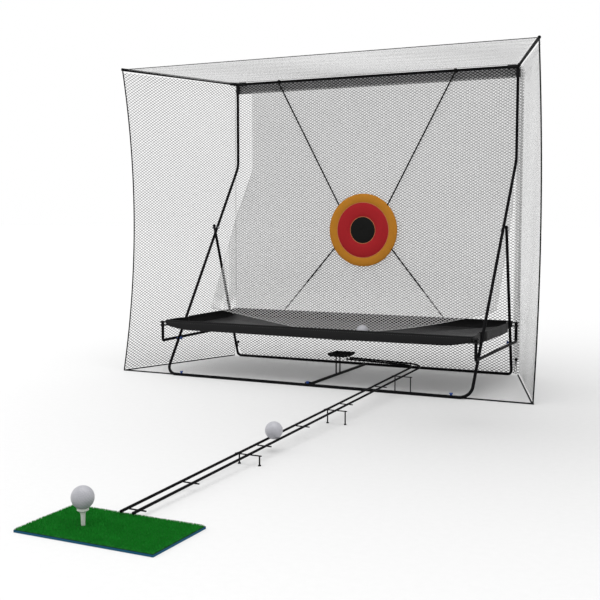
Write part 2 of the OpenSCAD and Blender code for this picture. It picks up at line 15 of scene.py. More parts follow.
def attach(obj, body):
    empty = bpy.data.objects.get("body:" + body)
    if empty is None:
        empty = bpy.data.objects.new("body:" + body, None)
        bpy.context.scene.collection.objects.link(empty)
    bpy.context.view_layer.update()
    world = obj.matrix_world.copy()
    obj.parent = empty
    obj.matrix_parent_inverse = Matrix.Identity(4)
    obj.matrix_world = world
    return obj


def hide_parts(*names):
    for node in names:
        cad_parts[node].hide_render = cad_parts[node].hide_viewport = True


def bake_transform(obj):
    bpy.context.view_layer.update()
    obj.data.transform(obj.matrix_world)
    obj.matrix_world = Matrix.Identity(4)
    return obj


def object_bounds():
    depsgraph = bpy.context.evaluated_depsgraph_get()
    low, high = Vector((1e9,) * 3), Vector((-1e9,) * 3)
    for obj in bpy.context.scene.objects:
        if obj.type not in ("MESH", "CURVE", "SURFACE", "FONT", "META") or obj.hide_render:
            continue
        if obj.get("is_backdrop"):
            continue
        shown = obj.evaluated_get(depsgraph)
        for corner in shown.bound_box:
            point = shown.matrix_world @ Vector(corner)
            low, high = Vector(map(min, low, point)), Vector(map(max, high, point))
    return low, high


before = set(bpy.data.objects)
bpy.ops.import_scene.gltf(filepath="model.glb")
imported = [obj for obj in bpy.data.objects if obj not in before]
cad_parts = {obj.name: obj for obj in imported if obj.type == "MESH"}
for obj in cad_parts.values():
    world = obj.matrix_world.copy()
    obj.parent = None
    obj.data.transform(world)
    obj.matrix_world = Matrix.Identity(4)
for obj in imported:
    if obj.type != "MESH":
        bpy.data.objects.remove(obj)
cad_low, cad_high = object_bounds()
print("CAD box", [round(side, 3) for side in cad_high - cad_low])

# %% [markdown]
# The drawing counts from the front tube in millimetres, and the shared frame is in metres with
# its origin under the middle of the whole object. Two helpers turn one into the other, so the
# sizes below can be read off the drawing.

# %% Millimetres from the front tube
MM = 0.001
BEHIND = 525


def at(x, y, z):
    """The place x, y, z millimetres from the middle of the front tube."""
    return Vector((x, y + BEHIND, z)) * MM


def drawn(place):
    """A place in the shared frame, back in the drawing's millimetres."""
    return place / MM - Vector((0, BEHIND, 0))


print("front tube at", at(0, 0, 5))

# %% [markdown]
# ## Camera, floor and light
# The camera stands low in front of the open side, a little to the right. A long lens keeps the
# tubes nearly parallel. The floor is a large pale plane that glows, least near the net's front
# right corner and more the further it lies from there, so that it meets the white surroundings
# without a line. The dim glow near the net is a painted shadow of it.

# %% Camera
EYE = (1385, -2910, 563.3)
eye = bpy.data.cameras.new("eye")
eye.lens = 59.3
eye.sensor_width = 36
eye.clip_end = 200
camera = bpy.data.objects.new("camera", eye)
camera.location = at(*EYE)
camera.rotation_euler = (math.radians(85.08), 0, math.radians(25.89))
bpy.context.scene.collection.objects.link(camera)
bpy.context.scene.camera = camera
print("camera at", camera.location)

# %% [markdown]
# ## A short way to write shader maths
# Node trees are long when every sum is its own node call. A small class wraps a socket, so an
# expression such as `1 - mask * 0.5` adds the Math nodes itself. Every other node comes from
# one method, which sets the node's options first and then its sockets.

# %% Sockets that can be added and multiplied
class Wire:
    """A shader socket that takes part in Python's arithmetic."""

    def __init__(self, finish, socket):
        self.finish, self.socket = finish, socket

    def maths(self, operation, *values):
        return self.finish.node("ShaderNodeMath", {"operation": operation}, values)

    def __add__(self, other):
        return self.maths("ADD", self, other)

    def __sub__(self, other):
        return self.maths("SUBTRACT", self, other)

    def __rsub__(self, other):
        return self.maths("SUBTRACT", other, self)

    def __mul__(self, other):
        return self.maths("MULTIPLY", self, other)

    def __pow__(self, other):
        return self.maths("POWER", self, other)

    def __rpow__(self, other):
        return self.maths("POWER", other, self)

    __radd__ = __add__
    __rmul__ = __mul__

    def sine(self):
        return self.maths("SINE", self)


class Finish:
    """A material: constants sit on the shader's own sockets, and nodes are added by node()."""

    def __init__(self, name, **constants):
        self.material = bpy.data.materials.new(name)
        self.material.use_nodes = True
        self.tree = self.material.node_tree
        self.shader = self.tree.nodes["Principled BSDF"]
        for socket, value in constants.items():
            self.shader.inputs[socket.replace("_", " ")].default_value = value

    def node(self, kind, settings=None, sockets=(), out=0):
        made = self.tree.nodes.new(kind)
        for option, value in (settings or {}).items():
            if option == "stops":
                for stop, (place, grey) in zip(made.color_ramp.elements, value):
                    stop.position, stop.color = place, (grey, grey, grey, 1)
            else:
                setattr(made, option, value)
        pairs = sockets.items() if isinstance(sockets, dict) else enumerate(sockets)
        for socket, value in pairs:
            self.feed(made.inputs[socket], value)
        return Wire(self, made.outputs[out])

    def feed(self, socket, value):
        if isinstance(value, Wire):
            self.tree.links.new(value.socket, socket)
        else:
            socket.default_value = value

    def place(self):
        """Object coordinates, in metres."""
        return self.node("ShaderNodeTexCoord", out="Object")

    def cloth(self):
        """The piece's own UV map, in millimetres along and across."""
        return self.node("ShaderNodeUVMap", {"uv_map": "cloth"})

    def parts(self, vector):
        """The three numbers of a vector."""
        split = self.tree.nodes.new("ShaderNodeSeparateXYZ")
        self.feed(split.inputs[0], vector)
        return [Wire(self, socket) for socket in split.outputs]

    def grain(self, vector, scale, detail=2.0, rough=0.5):
        """Noise from 0 to 1, with features about 1 / scale wide."""
        return self.node(
            "ShaderNodeTexNoise",
            {"noise_dimensions": "3D"},
            {"Vector": vector, "Scale": scale, "Detail": detail, "Roughness": rough},
        )

    def ramp(self, value, low, high, first=0.0, last=1.0):
        """value from low to high becomes first to last, and no more."""
        return self.node(
            "ShaderNodeMapRange", {"clamp": True}, [value, low, high, first, last]
        )

    def blend(self, one, other, share):
        """One colour where share is 0, the other where it is 1."""
        return self.node(
            "ShaderNodeMix", {"data_type": "RGBA"}, {0: share, 6: one, 7: other}, out=2
        )

    def relief(self, height, depth, strength=1.0):
        """Bump from a height of 0 to 1 that stands for depth metres."""
        return self.node(
            "ShaderNodeBump", {}, {"Strength": strength, "Distance": depth, "Height": height}
        )

    def paint(self, **sockets):
        for name, wire in sockets.items():
            self.feed(self.shader.inputs[name.replace("_", " ")], wire)


def dress(finish, *nodes):
    """Give CAD nodes a finish. Their shapes stay as they are."""
    for node in nodes:
        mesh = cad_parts[node].data
        mesh.materials.clear()
        mesh.materials.append(finish.material)
    print(finish.material.name, "on", len(nodes), "CAD nodes")


def grey(level):
    return (level, level, level, 1)


print("shader helpers ready")

# %% [markdown]
# ## The floor and the lights
# A studio floor is a sheet of paper with soft light from all round. The floor gets a faint
# paper grain and a glow that no lamp gives. The glow is least near the net's front right corner
# and grows with the distance from there: a painted shadow of the net. The light is a pale
# surrounding, one wide lamp above and in front, and a weaker one from the left, so that tubes
# and balls get a bright and a dark side.

# %% Floor
# Painted shadow: the floor's glow is weakest at this point, near the net's front right corner, and
# grows with the distance from it.
PAINTED_SHADOW_X, PAINTED_SHADOW_Y, PAINTED_SHADOW_FADE = 0.65, 0.2, 0.535
paper = Finish("studio_paper", Roughness=0.9, Emission_Strength=1.0)
paper.shader.inputs["Specular IOR Level"].default_value = 0.1
fibre = paper.grain(paper.place(), 60, 3)
away, ahead, _ = paper.parts(paper.place())
off_side, off_back = away - PAINTED_SHADOW_X, ahead - PAINTED_SHADOW_Y
distance = (off_side * off_side + off_back * off_back) ** 0.5
# 0 at that point and towards 1 far away: the painted shadow of the net in the floor's glow.
painted_shadow_glow = 1 - PAINTED_SHADOW_FADE**distance
paper.paint(
    Base_Color=paper.blend(grey(0.47), grey(0.50), fibre),
    Emission_Color=paper.blend(grey(0), grey(0.505), painted_shadow_glow),
)
ground = bmesh.new()
bmesh.ops.create_grid(ground, x_segments=8, y_segments=8, size=40)
ground_mesh = bpy.data.meshes.new("floor")
ground.to_mesh(ground_mesh)
ground.free()
ground_mesh.materials.append(paper.material)
floor = bpy.data.objects.new("floor", ground_mesh)
bpy.context.scene.collection.objects.link(floor)
floor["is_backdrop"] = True
print("floor", [round(side, 1) for side in floor.dimensions])

# %% Lights
world = bpy.data.worlds.new("white_room")
world.use_nodes = True
backdrop = world.node_tree.nodes["Background"]
backdrop.inputs["Color"].default_value = grey(1)
backdrop.inputs["Strength"].default_value = 1.0
bpy.context.scene.world = world
bpy.context.scene.view_settings.view_transform = "Standard"


def lamp(name, place, target, size, watts):
    """A square soft lamp at place that shines at target."""
    light = bpy.data.lights.new(name, "AREA")
    light.shape, light.size, light.energy = "SQUARE", size, watts
    made = bpy.data.objects.new(name, light)
    made.location = place
    made.rotation_euler = (target - place).to_track_quat("-Z", "Y").to_euler()
    bpy.context.scene.collection.objects.link(made)
    return made


middle = at(0, 250, 400)
lamp("lamp_above", at(600, -900, 3200), middle, 2.6, 60)
lamp("lamp_left", at(-2600, -1800, 1500), middle, 2.6, 18)
print("two lamps and a white surrounding")

# %% [markdown]
# ## Paint, plastic and zinc on the CAD parts
# Powder paint on thin tube is nearly black, with a fine orange-peel skin and a slow change in
# gloss from handling. Where tube ends and edges rub, the paint is a little paler. Noise at
# two scales gives both, and a bump node turns the fine one into relief.

# %% Painted steel
def painted(name, colour, worn, gloss):
    steel = Finish(name, Roughness=gloss)
    steel.shader.inputs["Specular IOR Level"].default_value = 0.03
    place = steel.place()
    skin = steel.grain(place, 900, 3)
    handled = steel.grain(place, 9, 4, 0.6)
    rubbed = steel.ramp(steel.grain(place, 140, 5, 0.7), 0.62, 0.72)
    steel.paint(
        Base_Color=steel.blend((*colour, 1), (*worn, 1), rubbed * 0.5 + handled * 0.25),
        Roughness=handled * 0.22 + skin * 0.08 + (gloss - 0.15),
        Normal=steel.relief(skin, 0.00008, 0.35),
    )
    return steel


def speckled(name, dark, light, grain, rough, bump, **constants):
    """One noise drives the colour from dark to light, the roughness and the relief."""
    made = Finish(name, **constants)
    specks = made.grain(made.place(), *grain)
    made.paint(
        Base_Color=made.blend((*dark, 1), (*light, 1), specks),
        Roughness=specks * rough[0] + rough[1],
        Normal=made.relief(specks, *bump),
    )
    return made


tube_paint = painted("tube_paint", (0.003, 0.003, 0.0035), (0.010, 0.010, 0.011), 0.45)
wire_paint = painted("wire_paint", (0.003, 0.003, 0.0035), (0.008, 0.008, 0.009), 0.48)
dress(
    tube_paint,
    *["front_bar", "leg_left", "leg_right", "top_bar", "arm_left", "arm_right"],
    *["rear_bar", "strut_left", "strut_right", "centre_bar", "bracket_left", "bracket_right"],
)
dress(
    wire_paint,
    *["rail_outer", "rail_inner", "rail_ties", "rail_support_front"],
    *["rail_support_middle", "rail_support_rear", "funnel_posts"],
)

# %% Moulded plastic and zinc
corner_plastic = Finish("corner_plastic", Roughness=0.55, Specular_IOR_Level=0.1)
grainy = corner_plastic.grain(corner_plastic.place(), 1600, 2)
flow = corner_plastic.grain(corner_plastic.place(), 45, 3)
corner_plastic.paint(
    Base_Color=corner_plastic.blend((0.003, 0.003, 0.0035, 1), (0.008, 0.008, 0.009, 1), flow),
    Roughness=grainy * 0.2 + 0.45,
    Normal=corner_plastic.relief(grainy, 0.0001, 0.5),
)
dress(corner_plastic, "top_corner_left", "top_corner_right", "funnel")

knob_plastic = speckled(
    *("knob_plastic", (0.006, 0.03, 0.15), (0.012, 0.055, 0.25), (260, 4, 0.6), (0.2, 0.24)),
    bump=(0.00006, 0.4),
    Roughness=0.32,
    Specular_IOR_Level=0.3,
)
dress(
    knob_plastic,
    *["knob_front_left", "knob_front_middle", "knob_front_right", "knob_leg_left"],
    *["knob_leg_right", "knob_strut_left", "knob_strut_right"],
)

zinc = Finish("zinc", Roughness=0.35)
streaks = zinc.grain(zinc.place(), 700, 4, 0.7)
zinc.paint(
    Base_Color=zinc.blend((0.30, 0.30, 0.31, 1), (0.48, 0.48, 0.50, 1), streaks),
    Metallic=streaks * 0.1 + 0.88,
    Roughness=streaks * 0.3 + 0.22,
    Normal=zinc.relief(streaks, 0.00004, 0.4),
)
dress(zinc, "pivot_bolts")

# %% Rubber of the mat and the tee
foam = Finish("mat_foam", Roughness=0.7, Specular_IOR_Level=0.1)
height = foam.parts(foam.place())[2]
pores = foam.grain(foam.place(), 1100, 3, 0.6)
sides = foam.blend((0.006, 0.06, 0.11, 1), (0.010, 0.085, 0.16, 1), pores)
foam.paint(
    Base_Color=foam.blend(sides, (0.004, 0.006, 0.010, 1), foam.ramp(height, 0.0041, 0.0044)),
    Roughness=pores * 0.25 + 0.55,
    Normal=foam.relief(pores, 0.0002, 0.6),
)
dress(foam, "mat_base")

tee_rubber = speckled(
    *("tee_rubber", (0.50, 0.53, 0.49), (0.62, 0.65, 0.60), (420, 4, 0.6), (0.25, 0.35)),
    bump=(0.0001, 0.4),
    Roughness=0.5,
)
dress(tee_rubber, "tee")

# %% [markdown]
# ## Cloth, cord and net finishes
# These follow the piece, so they read its own UV map, which holds millimetres along and
# across. A plain weave is two sine waves at right angles. A braid is two waves that lean
# against each other. The net's strand is a fine twist with some loose, paler fibres.

# %% Woven cloth
def woven(name, dark, light, thread, gloss, depth=0.00015):
    cloth = Finish(name, Roughness=gloss, Specular_IOR_Level=0.1)
    along, across, _ = cloth.parts(cloth.cloth())
    pull = cloth.grain(cloth.place(), 35, 4, 0.6)
    step = 2 * math.pi / thread
    weave = (along * step).sine() * (across * step).sine() * 0.5 + 0.5
    fuzz = cloth.grain(cloth.place(), 1500, 2)
    cloth.paint(
        Base_Color=cloth.blend((*dark, 1), (*light, 1), weave * 0.45 + pull * 0.35 + fuzz * 0.2),
        Roughness=pull * 0.2 + weave * 0.1 + (gloss - 0.12),
        Normal=cloth.relief(weave * 0.8 + fuzz * 0.2, depth, 0.5),
    )
    return cloth


tray_cloth = woven("tray_cloth", (0.005, 0.005, 0.0053), (0.010, 0.010, 0.0105), 1.6, 0.42)
band_cloth = woven("band_cloth", (0.32, 0.32, 0.325), (0.46, 0.46, 0.465), 1.2, 0.75)
# The tray's floor is the same black cloth, painted lighter: painted light where the floor faces up
# to the lamps and the white surroundings.
tray_floor_cloth_painted_lit = woven(
    "tray_floor_cloth_painted_lit", (0.020, 0.020, 0.0205), (0.034, 0.034, 0.0345), 1.6, 0.40
)
ochre_cloth = woven("ochre_cloth", (0.34, 0.135, 0.012), (0.46, 0.19, 0.020), 1.4, 0.75)
piping_cloth = woven("piping_cloth", (0.42, 0.14, 0.06), (0.55, 0.22, 0.10), 1.4, 0.7)
red_cloth = woven("red_cloth", (0.26, 0.010, 0.013), (0.36, 0.015, 0.020), 1.4, 0.72)
centre_cloth = woven("centre_cloth", (0.004, 0.004, 0.0037), (0.009, 0.009, 0.0085), 1.4, 0.8)
print("seven woven cloths")


# %% Cords and net strands
def braided(name, dark, light, pitch, gloss):
    cord = Finish(name, Roughness=gloss, Specular_IOR_Level=0.08)
    along, round_it, _ = cord.parts(cord.cloth())
    lean = along * (2 * math.pi / pitch)
    turn = round_it * (2 * math.pi)
    braid = (lean + turn * 3).sine() * (lean - turn * 3).sine() * 0.5 + 0.5
    hair = cord.grain(cord.place(), 1800, 3, 0.7)
    cord.paint(
        Base_Color=cord.blend((*dark, 1), (*light, 1), braid * 0.6 + hair * 0.4),
        Roughness=hair * 0.2 + (gloss - 0.1),
        Normal=cord.relief(braid * 0.7 + hair * 0.3, 0.0003, 0.6),
    )
    return cord


black_rope = braided("black_rope", (0.003, 0.003, 0.0035), (0.012, 0.012, 0.013), 5, 0.8)
target_rope = braided("target_rope", (0.003, 0.003, 0.003), (0.010, 0.010, 0.010), 4, 0.75)
grey_rope = braided("grey_rope", (0.13, 0.13, 0.135), (0.25, 0.25, 0.255), 3, 0.8)
elastic = braided("elastic", (0.003, 0.003, 0.003), (0.010, 0.010, 0.010), 2, 0.6)


def net_strand(name, dark, light, painted_shade_share):
    """Twisted net cord. Its tone is painted darker towards the floor, down to that share of it:
    painted shade under the tray and near the floor.
    """
    cord = Finish(name, Roughness=0.75, Specular_IOR_Level=0.2)
    place = cord.place()
    fibres = cord.grain(place, 2500, 3, 0.7)
    dye = cord.grain(place, 6, 3)
    unshaded = cord.blend(grey(dark), grey(light), fibres * 0.6 + dye * 0.4)
    # Painted shade: the same cord darkened by that share, blended in below about 0.42 m.
    painted_shade = cord.blend(grey(dark * painted_shade_share), grey(light * painted_shade_share), fibres)
    height = cord.parts(place)[2]
    cord.paint(
        Base_Color=cord.blend(painted_shade, unshaded, cord.ramp(height + dye * 0.05, 0.06, 0.42)),
        Roughness=fibres * 0.2 + 0.65,
        Normal=cord.relief(fibres, 0.0002, 0.5),
    )
    return cord


# These strands are painted down to a quarter of their tone near the floor: painted shade.
strand = net_strand("net_strand", 0.17, 0.29, 0.25)
hitting_strand = net_strand("hitting_strand", 0.32, 0.46, 1.0)
# The floor net is the same netting as the others, painted far lighter: painted light to offset the
# shade on the floor beneath it.
floor_strand_painted_lit = net_strand("floor_strand_painted_lit", 0.60, 0.74, 1.0)
hem_strand = net_strand("hem_strand", 0.006, 0.02, 1.0)
print("four cords and four net strands")

# %% Turf and golf balls
grass = Finish("grass", Roughness=0.7, Specular_IOR_Level=0.1)
blade_height = grass.parts(grass.place())[2]
patches = grass.grain(grass.place(), 70, 4, 0.6)
blades = grass.grain(grass.place(), 900, 2)
green = grass.blend((0.005, 0.17, 0.012, 1), (0.014, 0.34, 0.028, 1), patches * 0.4 + blades * 0.6)
# The blades are painted darker towards their roots: painted shade deep in the turf.
above_painted_shade = grass.ramp(blade_height, 0.0045, 0.0085)
grass.paint(
    Base_Color=grass.blend((0.003, 0.09, 0.008, 1), green, above_painted_shade),
    Roughness=blades * 0.3 + 0.5,
    Normal=grass.relief(blades, 0.0004, 0.4),
)

ball_cover = speckled(
    *("ball_cover", (0.30, 0.30, 0.325), (0.37, 0.37, 0.40), (180, 4, 0.6), (0.25, 0.25)),
    bump=(0.00005, 0.3),
    Roughness=0.35,
    Coat_Weight=0.15,
)
print("turf and ball cover")

# %% [markdown]
# ## Helpers for new pieces
# Each new piece starts as a bmesh, gets its shape from operators, and is then placed: it
# rides on a body, and the CAD nodes that it stands in for are hidden. Ropes and cloth
# start as flat grids whose points are moved onto the surface, which keeps a neat UV map with
# millimetres along and across.

# %% From bmesh to piece
def piece(name, shape, finish, slot, body="frame", replaces=(), smooth=True):
    for face in shape.faces:
        face.smooth = smooth
    mesh = bpy.data.meshes.new(name)
    shape.to_mesh(mesh)
    shape.free()
    mesh.materials.append(finish.material)
    made = bpy.data.objects.new(name, mesh)
    bpy.context.scene.collection.objects.link(made)
    if body:
        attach(made, body)
    if replaces:
        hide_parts(*replaces)
    print(name, len(mesh.polygons), "faces")
    return made


def shaped_grid(across, along, place, wide=1.0, long=1.0, joined=False, shut=False):
    """A grid of faces whose points go to place(u, v), with u and v from 0 to 1.
    joined closes it round u into a tube, and shut closes the tube's ends."""
    shape = bmesh.new()
    bmesh.ops.create_grid(shape, x_segments=across, y_segments=along, size=0.5)
    cloth = shape.loops.layers.uv.new("cloth")
    for face in shape.faces:
        for corner in face.loops:
            u, v = corner.vert.co.x + 0.5, corner.vert.co.y + 0.5
            corner[cloth].uv = (v * long, u * wide)
    for point in shape.verts:
        point.co = place(point.co.x + 0.5, point.co.y + 0.5)
    if joined:
        bmesh.ops.remove_doubles(shape, verts=shape.verts, dist=0.000001)
    if shut:
        rims = [edge for edge in shape.edges if edge.is_boundary]
        bmesh.ops.holes_fill(shape, edges=rims, sides=0)
    bmesh.ops.recalc_face_normals(shape, faces=shape.faces)
    return shape


def take_in(shape, other):
    """Move all of other into shape."""
    part = bpy.data.meshes.new("part")
    other.to_mesh(part)
    other.free()
    shape.from_mesh(part)
    bpy.data.meshes.remove(part)


def gathered(name, shapes, finish, slot, **facts):
    """One piece from several bmeshes."""
    whole = bmesh.new()
    for shape in shapes:
        take_in(whole, shape)
    return piece(name, whole, finish, slot, **facts)


class Run:
    """A line through points, asked for places by distance from its start, in millimetres."""

    def __init__(self, points):
        self.points = [Vector(point) for point in points]
        self.marks = [0.0]
        for one, other in zip(self.points, self.points[1:]):
            self.marks.append(self.marks[-1] + (other - one).length)
        self.length = self.marks[-1]

    def at(self, distance):
        distance = min(max(distance, 0.0), self.length)
        for i in range(len(self.points) - 1):
            if distance <= self.marks[i + 1]:
                share = (distance - self.marks[i]) / (self.marks[i + 1] - self.marks[i])
                return self.points[i].lerp(self.points[i + 1], share)
        return self.points[-1]

    def heading(self, distance, reach=2.0):
        ahead, back = self.at(distance + reach), self.at(distance - reach)
        return (ahead - back).normalized()


def rope(points, thick, lay=14, strands=3, depth=0.12, sides=12, step=2.5):
    """A laid rope along points in drawing millimetres: its section has strands lobes, which
    turn once in every lay millimetres. A depth of 0 gives a plain round cord."""
    run = Run(points)
    stations = max(2, round(run.length / step))

    def place(u, v):
        along = v * run.length
        heading = run.heading(along)
        level = Vector((0, 0, 1)) if abs(heading.z) < 0.8 else Vector((0, 1, 0))
        side = heading.cross(level).normalized()
        up = side.cross(heading)
        angle = 2 * math.pi * u
        lobe = 1 - depth + depth * math.cos(strands * (angle - 2 * math.pi * along / lay))
        out = (side * math.cos(angle) + up * math.sin(angle)) * (thick / 2 * lobe)
        return at(*(run.at(along) + out))

    return shaped_grid(sides, stations, place, 1, run.length, joined=True, shut=True)


print("piece, shaped_grid, Run and rope ready")

# %% [markdown]
# ## Edge ropes
# A laid rope holds every free edge of the net box. It could be a plain bent cylinder, but a
# rope catches light on its strands. So each one is a grid wrapped into a tube whose section
# has three lobes that turn along its length. The two front side ropes are drawn back by the
# net's pull, in a flat curve that is deepest at mid height.

# %% The bowed line of the open front
ROPE_LOW, ROPE_TOP, ROPE_BOW = Vector((740, 8, 5.4)), Vector((734.5, 18, 1070.7)), 65


def front_edge(z, side=1):
    """The middle of a front side rope at height z."""
    t = (z - ROPE_LOW.z) / (ROPE_TOP.z - ROPE_LOW.z)
    point = ROPE_LOW.lerp(ROPE_TOP, t)
    return Vector((side * point.x, point.y + 4 * ROPE_BOW * t * (1 - t), z))


def mirrored(points, side):
    return [(side * x, y, z) for x, y, z in points]


bowed = [front_edge(ROPE_LOW.z + (ROPE_TOP.z - ROPE_LOW.z) * i / 24) for i in range(25)]
for name, side in (("left", -1), ("right", 1)):
    piece(
        "edge_rope_front_" + name,
        rope(mirrored(bowed, side), 5),
        *(black_rope, "edge_rope"),
        replaces=["rope_front_" + name],
    )
    piece(
        "edge_rope_floor_" + name,
        rope(mirrored([(736.5, 12.6, 2.6), (572, 521, 2.6)], side), 5),
        *(black_rope, "edge_rope"),
        replaces=["rope_bottom_" + name],
    )

# %% Front ropes on the floor and between the arm tips
over_tube = [(-742.5, 9.4, 2.6), (-21, 9.4, 2.6), (-17, 9.4, 3.4), (-12.5, 9.4, 9.6)]
over_tube += [(-9.5, 9.4, 12.2), (-6, 9.4, 12.8)]
over_tube += mirrored(over_tube[::-1], -1)
piece(
    "edge_rope_floor_front",
    rope(over_tube, 5),
    *(black_rope, "edge_rope"),
    replaces=["rope_bottom_front"],
)
piece(
    "edge_rope_top_front",
    rope([(-728, 18, 1076), (728, 18, 1076)], 2.6, lay=9),
    *(black_rope, "edge_rope"),
    replaces=["rope_front_top"],
)

# %% [markdown]
# ## Ball-ended elastics
# At each rear corner an elastic loop goes round the tube and pulls the net down to it. Its
# ball is a small moulded knob with a collar where both cords enter.

# %% Elastics
def bungee(side):
    ball = Vector((side * 562, 531.5, 55))
    shape = bmesh.new()
    bmesh.ops.create_uvsphere(shape, u_segments=24, v_segments=16, radius=5.5)
    crown = [point for point in shape.verts if point.co.z < -4]
    bmesh.ops.scale(shape, verts=crown, vec=(0.8, 0.8, 1.12))
    bmesh.ops.transform(
        shape, verts=shape.verts, matrix=Matrix.Translation(at(*ball)) @ Matrix.Scale(MM, 4)
    )
    ends = [(side * 557.5, 520, 9), (side * 563, 525, 4.5)]
    starts = [ball + Vector((-1 * side, -2, -4)), ball + Vector((side, 0, -4))]
    for start, end in zip(starts, ends):
        bowed_out = start.lerp(Vector(end), 0.5) + Vector((side * 1.2, 0, 0))
        take_in(shape, rope([start, bowed_out, end], 2.4, lay=5, depth=0.08, sides=8))
    return shape


both = bungee(-1)
take_in(both, bungee(1))
piece("elastics", both, elastic, "elastic", replaces=["bungees"])

# %% [markdown]
# ## The nets
# A golf net is thousands of small diamonds, 17 mm wide and 10 mm high, with a flattened knot
# at each crossing. A see-through pattern painted on a sheet would be lighter, but it vanishes
# in a mesh file and has no thickness at a grazing angle. So every strand is real: one long
# three-sided strand is repeated by doubling, mirrored for the other direction, and trimmed.
# Each knot is an eight-sided bead of its own. The flat net is then moved onto its surface.
# The strands are flattened to ribbons, and their cut ends stay open, hidden in hems and ropes.

# %% One flat net
CELL_WIDE, CELL_HIGH = 17, 10
LEAN = math.atan2(CELL_HIGH, CELL_WIDE)
STRAND_RADIUS = 0.92
KNOT_SIZE = (3.3, 1.35, 1.35)
FLATNESS = 0.16


def repeat(shape, step, count):
    """Repeat all that is in shape count times, step apart, by doubling."""
    packed = bpy.data.meshes.new("packed")
    shape.to_mesh(packed)
    shape.clear()
    shape.from_mesh(packed)
    bpy.data.meshes.remove(packed)
    kinds = (shape.verts, shape.edges, shape.faces)
    sizes = [len(kind) for kind in kinds]
    made = 1
    while made < count:
        more = min(made, count - made)
        part = [item for kind, size in zip(kinds, sizes) for item in kind[: size * more]]
        fresh = bmesh.ops.duplicate(shape, geom=part)["geom"]
        points = [item for item in fresh if isinstance(item, bmesh.types.BMVert)]
        bmesh.ops.translate(shape, verts=points, vec=Vector(step) * made)
        made += more


def strands(wide, high, links, radius):
    """Strands in both directions over x from 0 to wide and z from 0 to high."""
    shape = bmesh.new()
    bmesh.ops.create_circle(shape, segments=3, radius=radius)
    length = high / math.sin(LEAN)
    ring = shape.edges[:]
    for _ in range(links):
        ring = bmesh.ops.extrude_edge_only(shape, edges=ring)["geom"]
        tip = [item for item in ring if isinstance(item, bmesh.types.BMVert)]
        bmesh.ops.translate(shape, verts=tip, vec=(0, 0, length / links))
        ring = [item for item in ring if isinstance(item, bmesh.types.BMEdge)]
        ring = [edge for edge in ring if all(point in tip for point in edge.verts)]
    turned = Matrix.Rotation(math.pi / 2 - LEAN, 4, "Y")
    bmesh.ops.transform(shape, verts=shape.verts, matrix=turned)
    shift = high * CELL_WIDE / CELL_HIGH
    bmesh.ops.translate(shape, verts=shape.verts, vec=(-shift, 0.35, 0))
    bmesh.ops.recalc_face_normals(shape, faces=shape.faces)
    repeat(shape, (CELL_WIDE, 0, 0), math.ceil((wide + shift) / CELL_WIDE) + 1)
    fresh = bmesh.ops.duplicate(shape, geom=shape.verts[:] + shape.edges[:] + shape.faces[:])
    fresh = fresh["geom"]
    points = [item for item in fresh if isinstance(item, bmesh.types.BMVert)]
    bmesh.ops.scale(shape, verts=points, vec=(-1, -1, 1))
    bmesh.ops.translate(shape, verts=points, vec=(wide, 0, 0))
    return shape


def knots(wide, high, inside):
    """Flattened beads at the crossings that inside(x, z) accepts."""
    shape = bmesh.new()
    bmesh.ops.create_uvsphere(shape, u_segments=4, v_segments=2, radius=1)
    bmesh.ops.scale(shape, verts=shape.verts, vec=KNOT_SIZE)
    repeat(shape, (CELL_WIDE, 0, 0), round(wide / CELL_WIDE) + 1)
    repeat(shape, (CELL_WIDE / 2, 0, CELL_HIGH / 2), 2)
    repeat(shape, (0, 0, CELL_HIGH), round(high / CELL_HIGH) + 1)
    points, away = shape.verts[:], []
    for first in range(0, len(points), 6):
        bead = points[first : first + 6]
        middle = sum((point.co for point in bead), Vector()) / 6
        if not inside(middle.x, middle.z):
            away += bead
    bmesh.ops.delete(shape, geom=away, context="VERTS")
    return shape


def cut(shape, items, foot, out, clear):
    """Cut items along the plane through foot, and drop what lies on its outer side."""
    bmesh.ops.bisect_plane(shape, geom=items, plane_co=foot, plane_no=out, clear_outer=clear)


def flat_net(wide, high, outline, links=1, notches=(), radius=STRAND_RADIUS):
    """A net cut to outline, a convex ring of (x, z) points that runs anticlockwise.
    A notch (low, high, foot, out) takes away what is beyond foot between two heights."""
    sides = []
    for (x, z), (nx, nz) in zip(outline, outline[1:] + outline[:1]):
        out = Vector((nz - z, 0, x - nx)).normalized()
        sides.append((Vector((x, 0, z)), out))

    def inside(x, z):
        spot = Vector((x, 0, z))
        if any(low < z < top and (spot - foot).dot(out) > 0 for low, top, foot, out in notches):
            return False
        return all((spot - foot).dot(out) <= 1 for foot, out in sides)

    shape = strands(wide, high, links, radius)
    for foot, out in sides:
        cut(shape, shape.verts[:] + shape.edges[:] + shape.faces[:], foot, out, True)
    for low, top, foot, out in notches:
        for level in (low, top):
            everything = shape.verts[:] + shape.edges[:] + shape.faces[:]
            cut(shape, everything, (0, 0, level), (0, 0, 1), False)
        faces = [face for face in shape.faces if low < face.calc_center_median().z < top]
        edges = {edge for face in faces for edge in face.edges}
        points = {point for face in faces for point in face.verts}
        cut(shape, list(points) + list(edges) + faces, foot, out, True)
    take_in(shape, knots(wide, high, inside))
    return shape


def hang(shape, place):
    """Move a flat net's points to place(x, z, out)."""
    for point in shape.verts:
        point.co = place(point.co.x, point.co.z, point.co.y * FLATNESS)
    bmesh.ops.recalc_face_normals(shape, faces=shape.faces)
    return shape


def cells(length, cell):
    """The next whole number of cells, in millimetres."""
    return math.ceil(length / cell) * cell


print("one cell is", CELL_WIDE, "by", CELL_HIGH, "mm")

# %% [markdown]
# The back net hangs flat behind the frame, with its lower corners cut away where the
# elastics hold it. The top net and the floor net are cut narrower at the back, because the
# arms spread towards the player. The top net sags a little between the tubes.

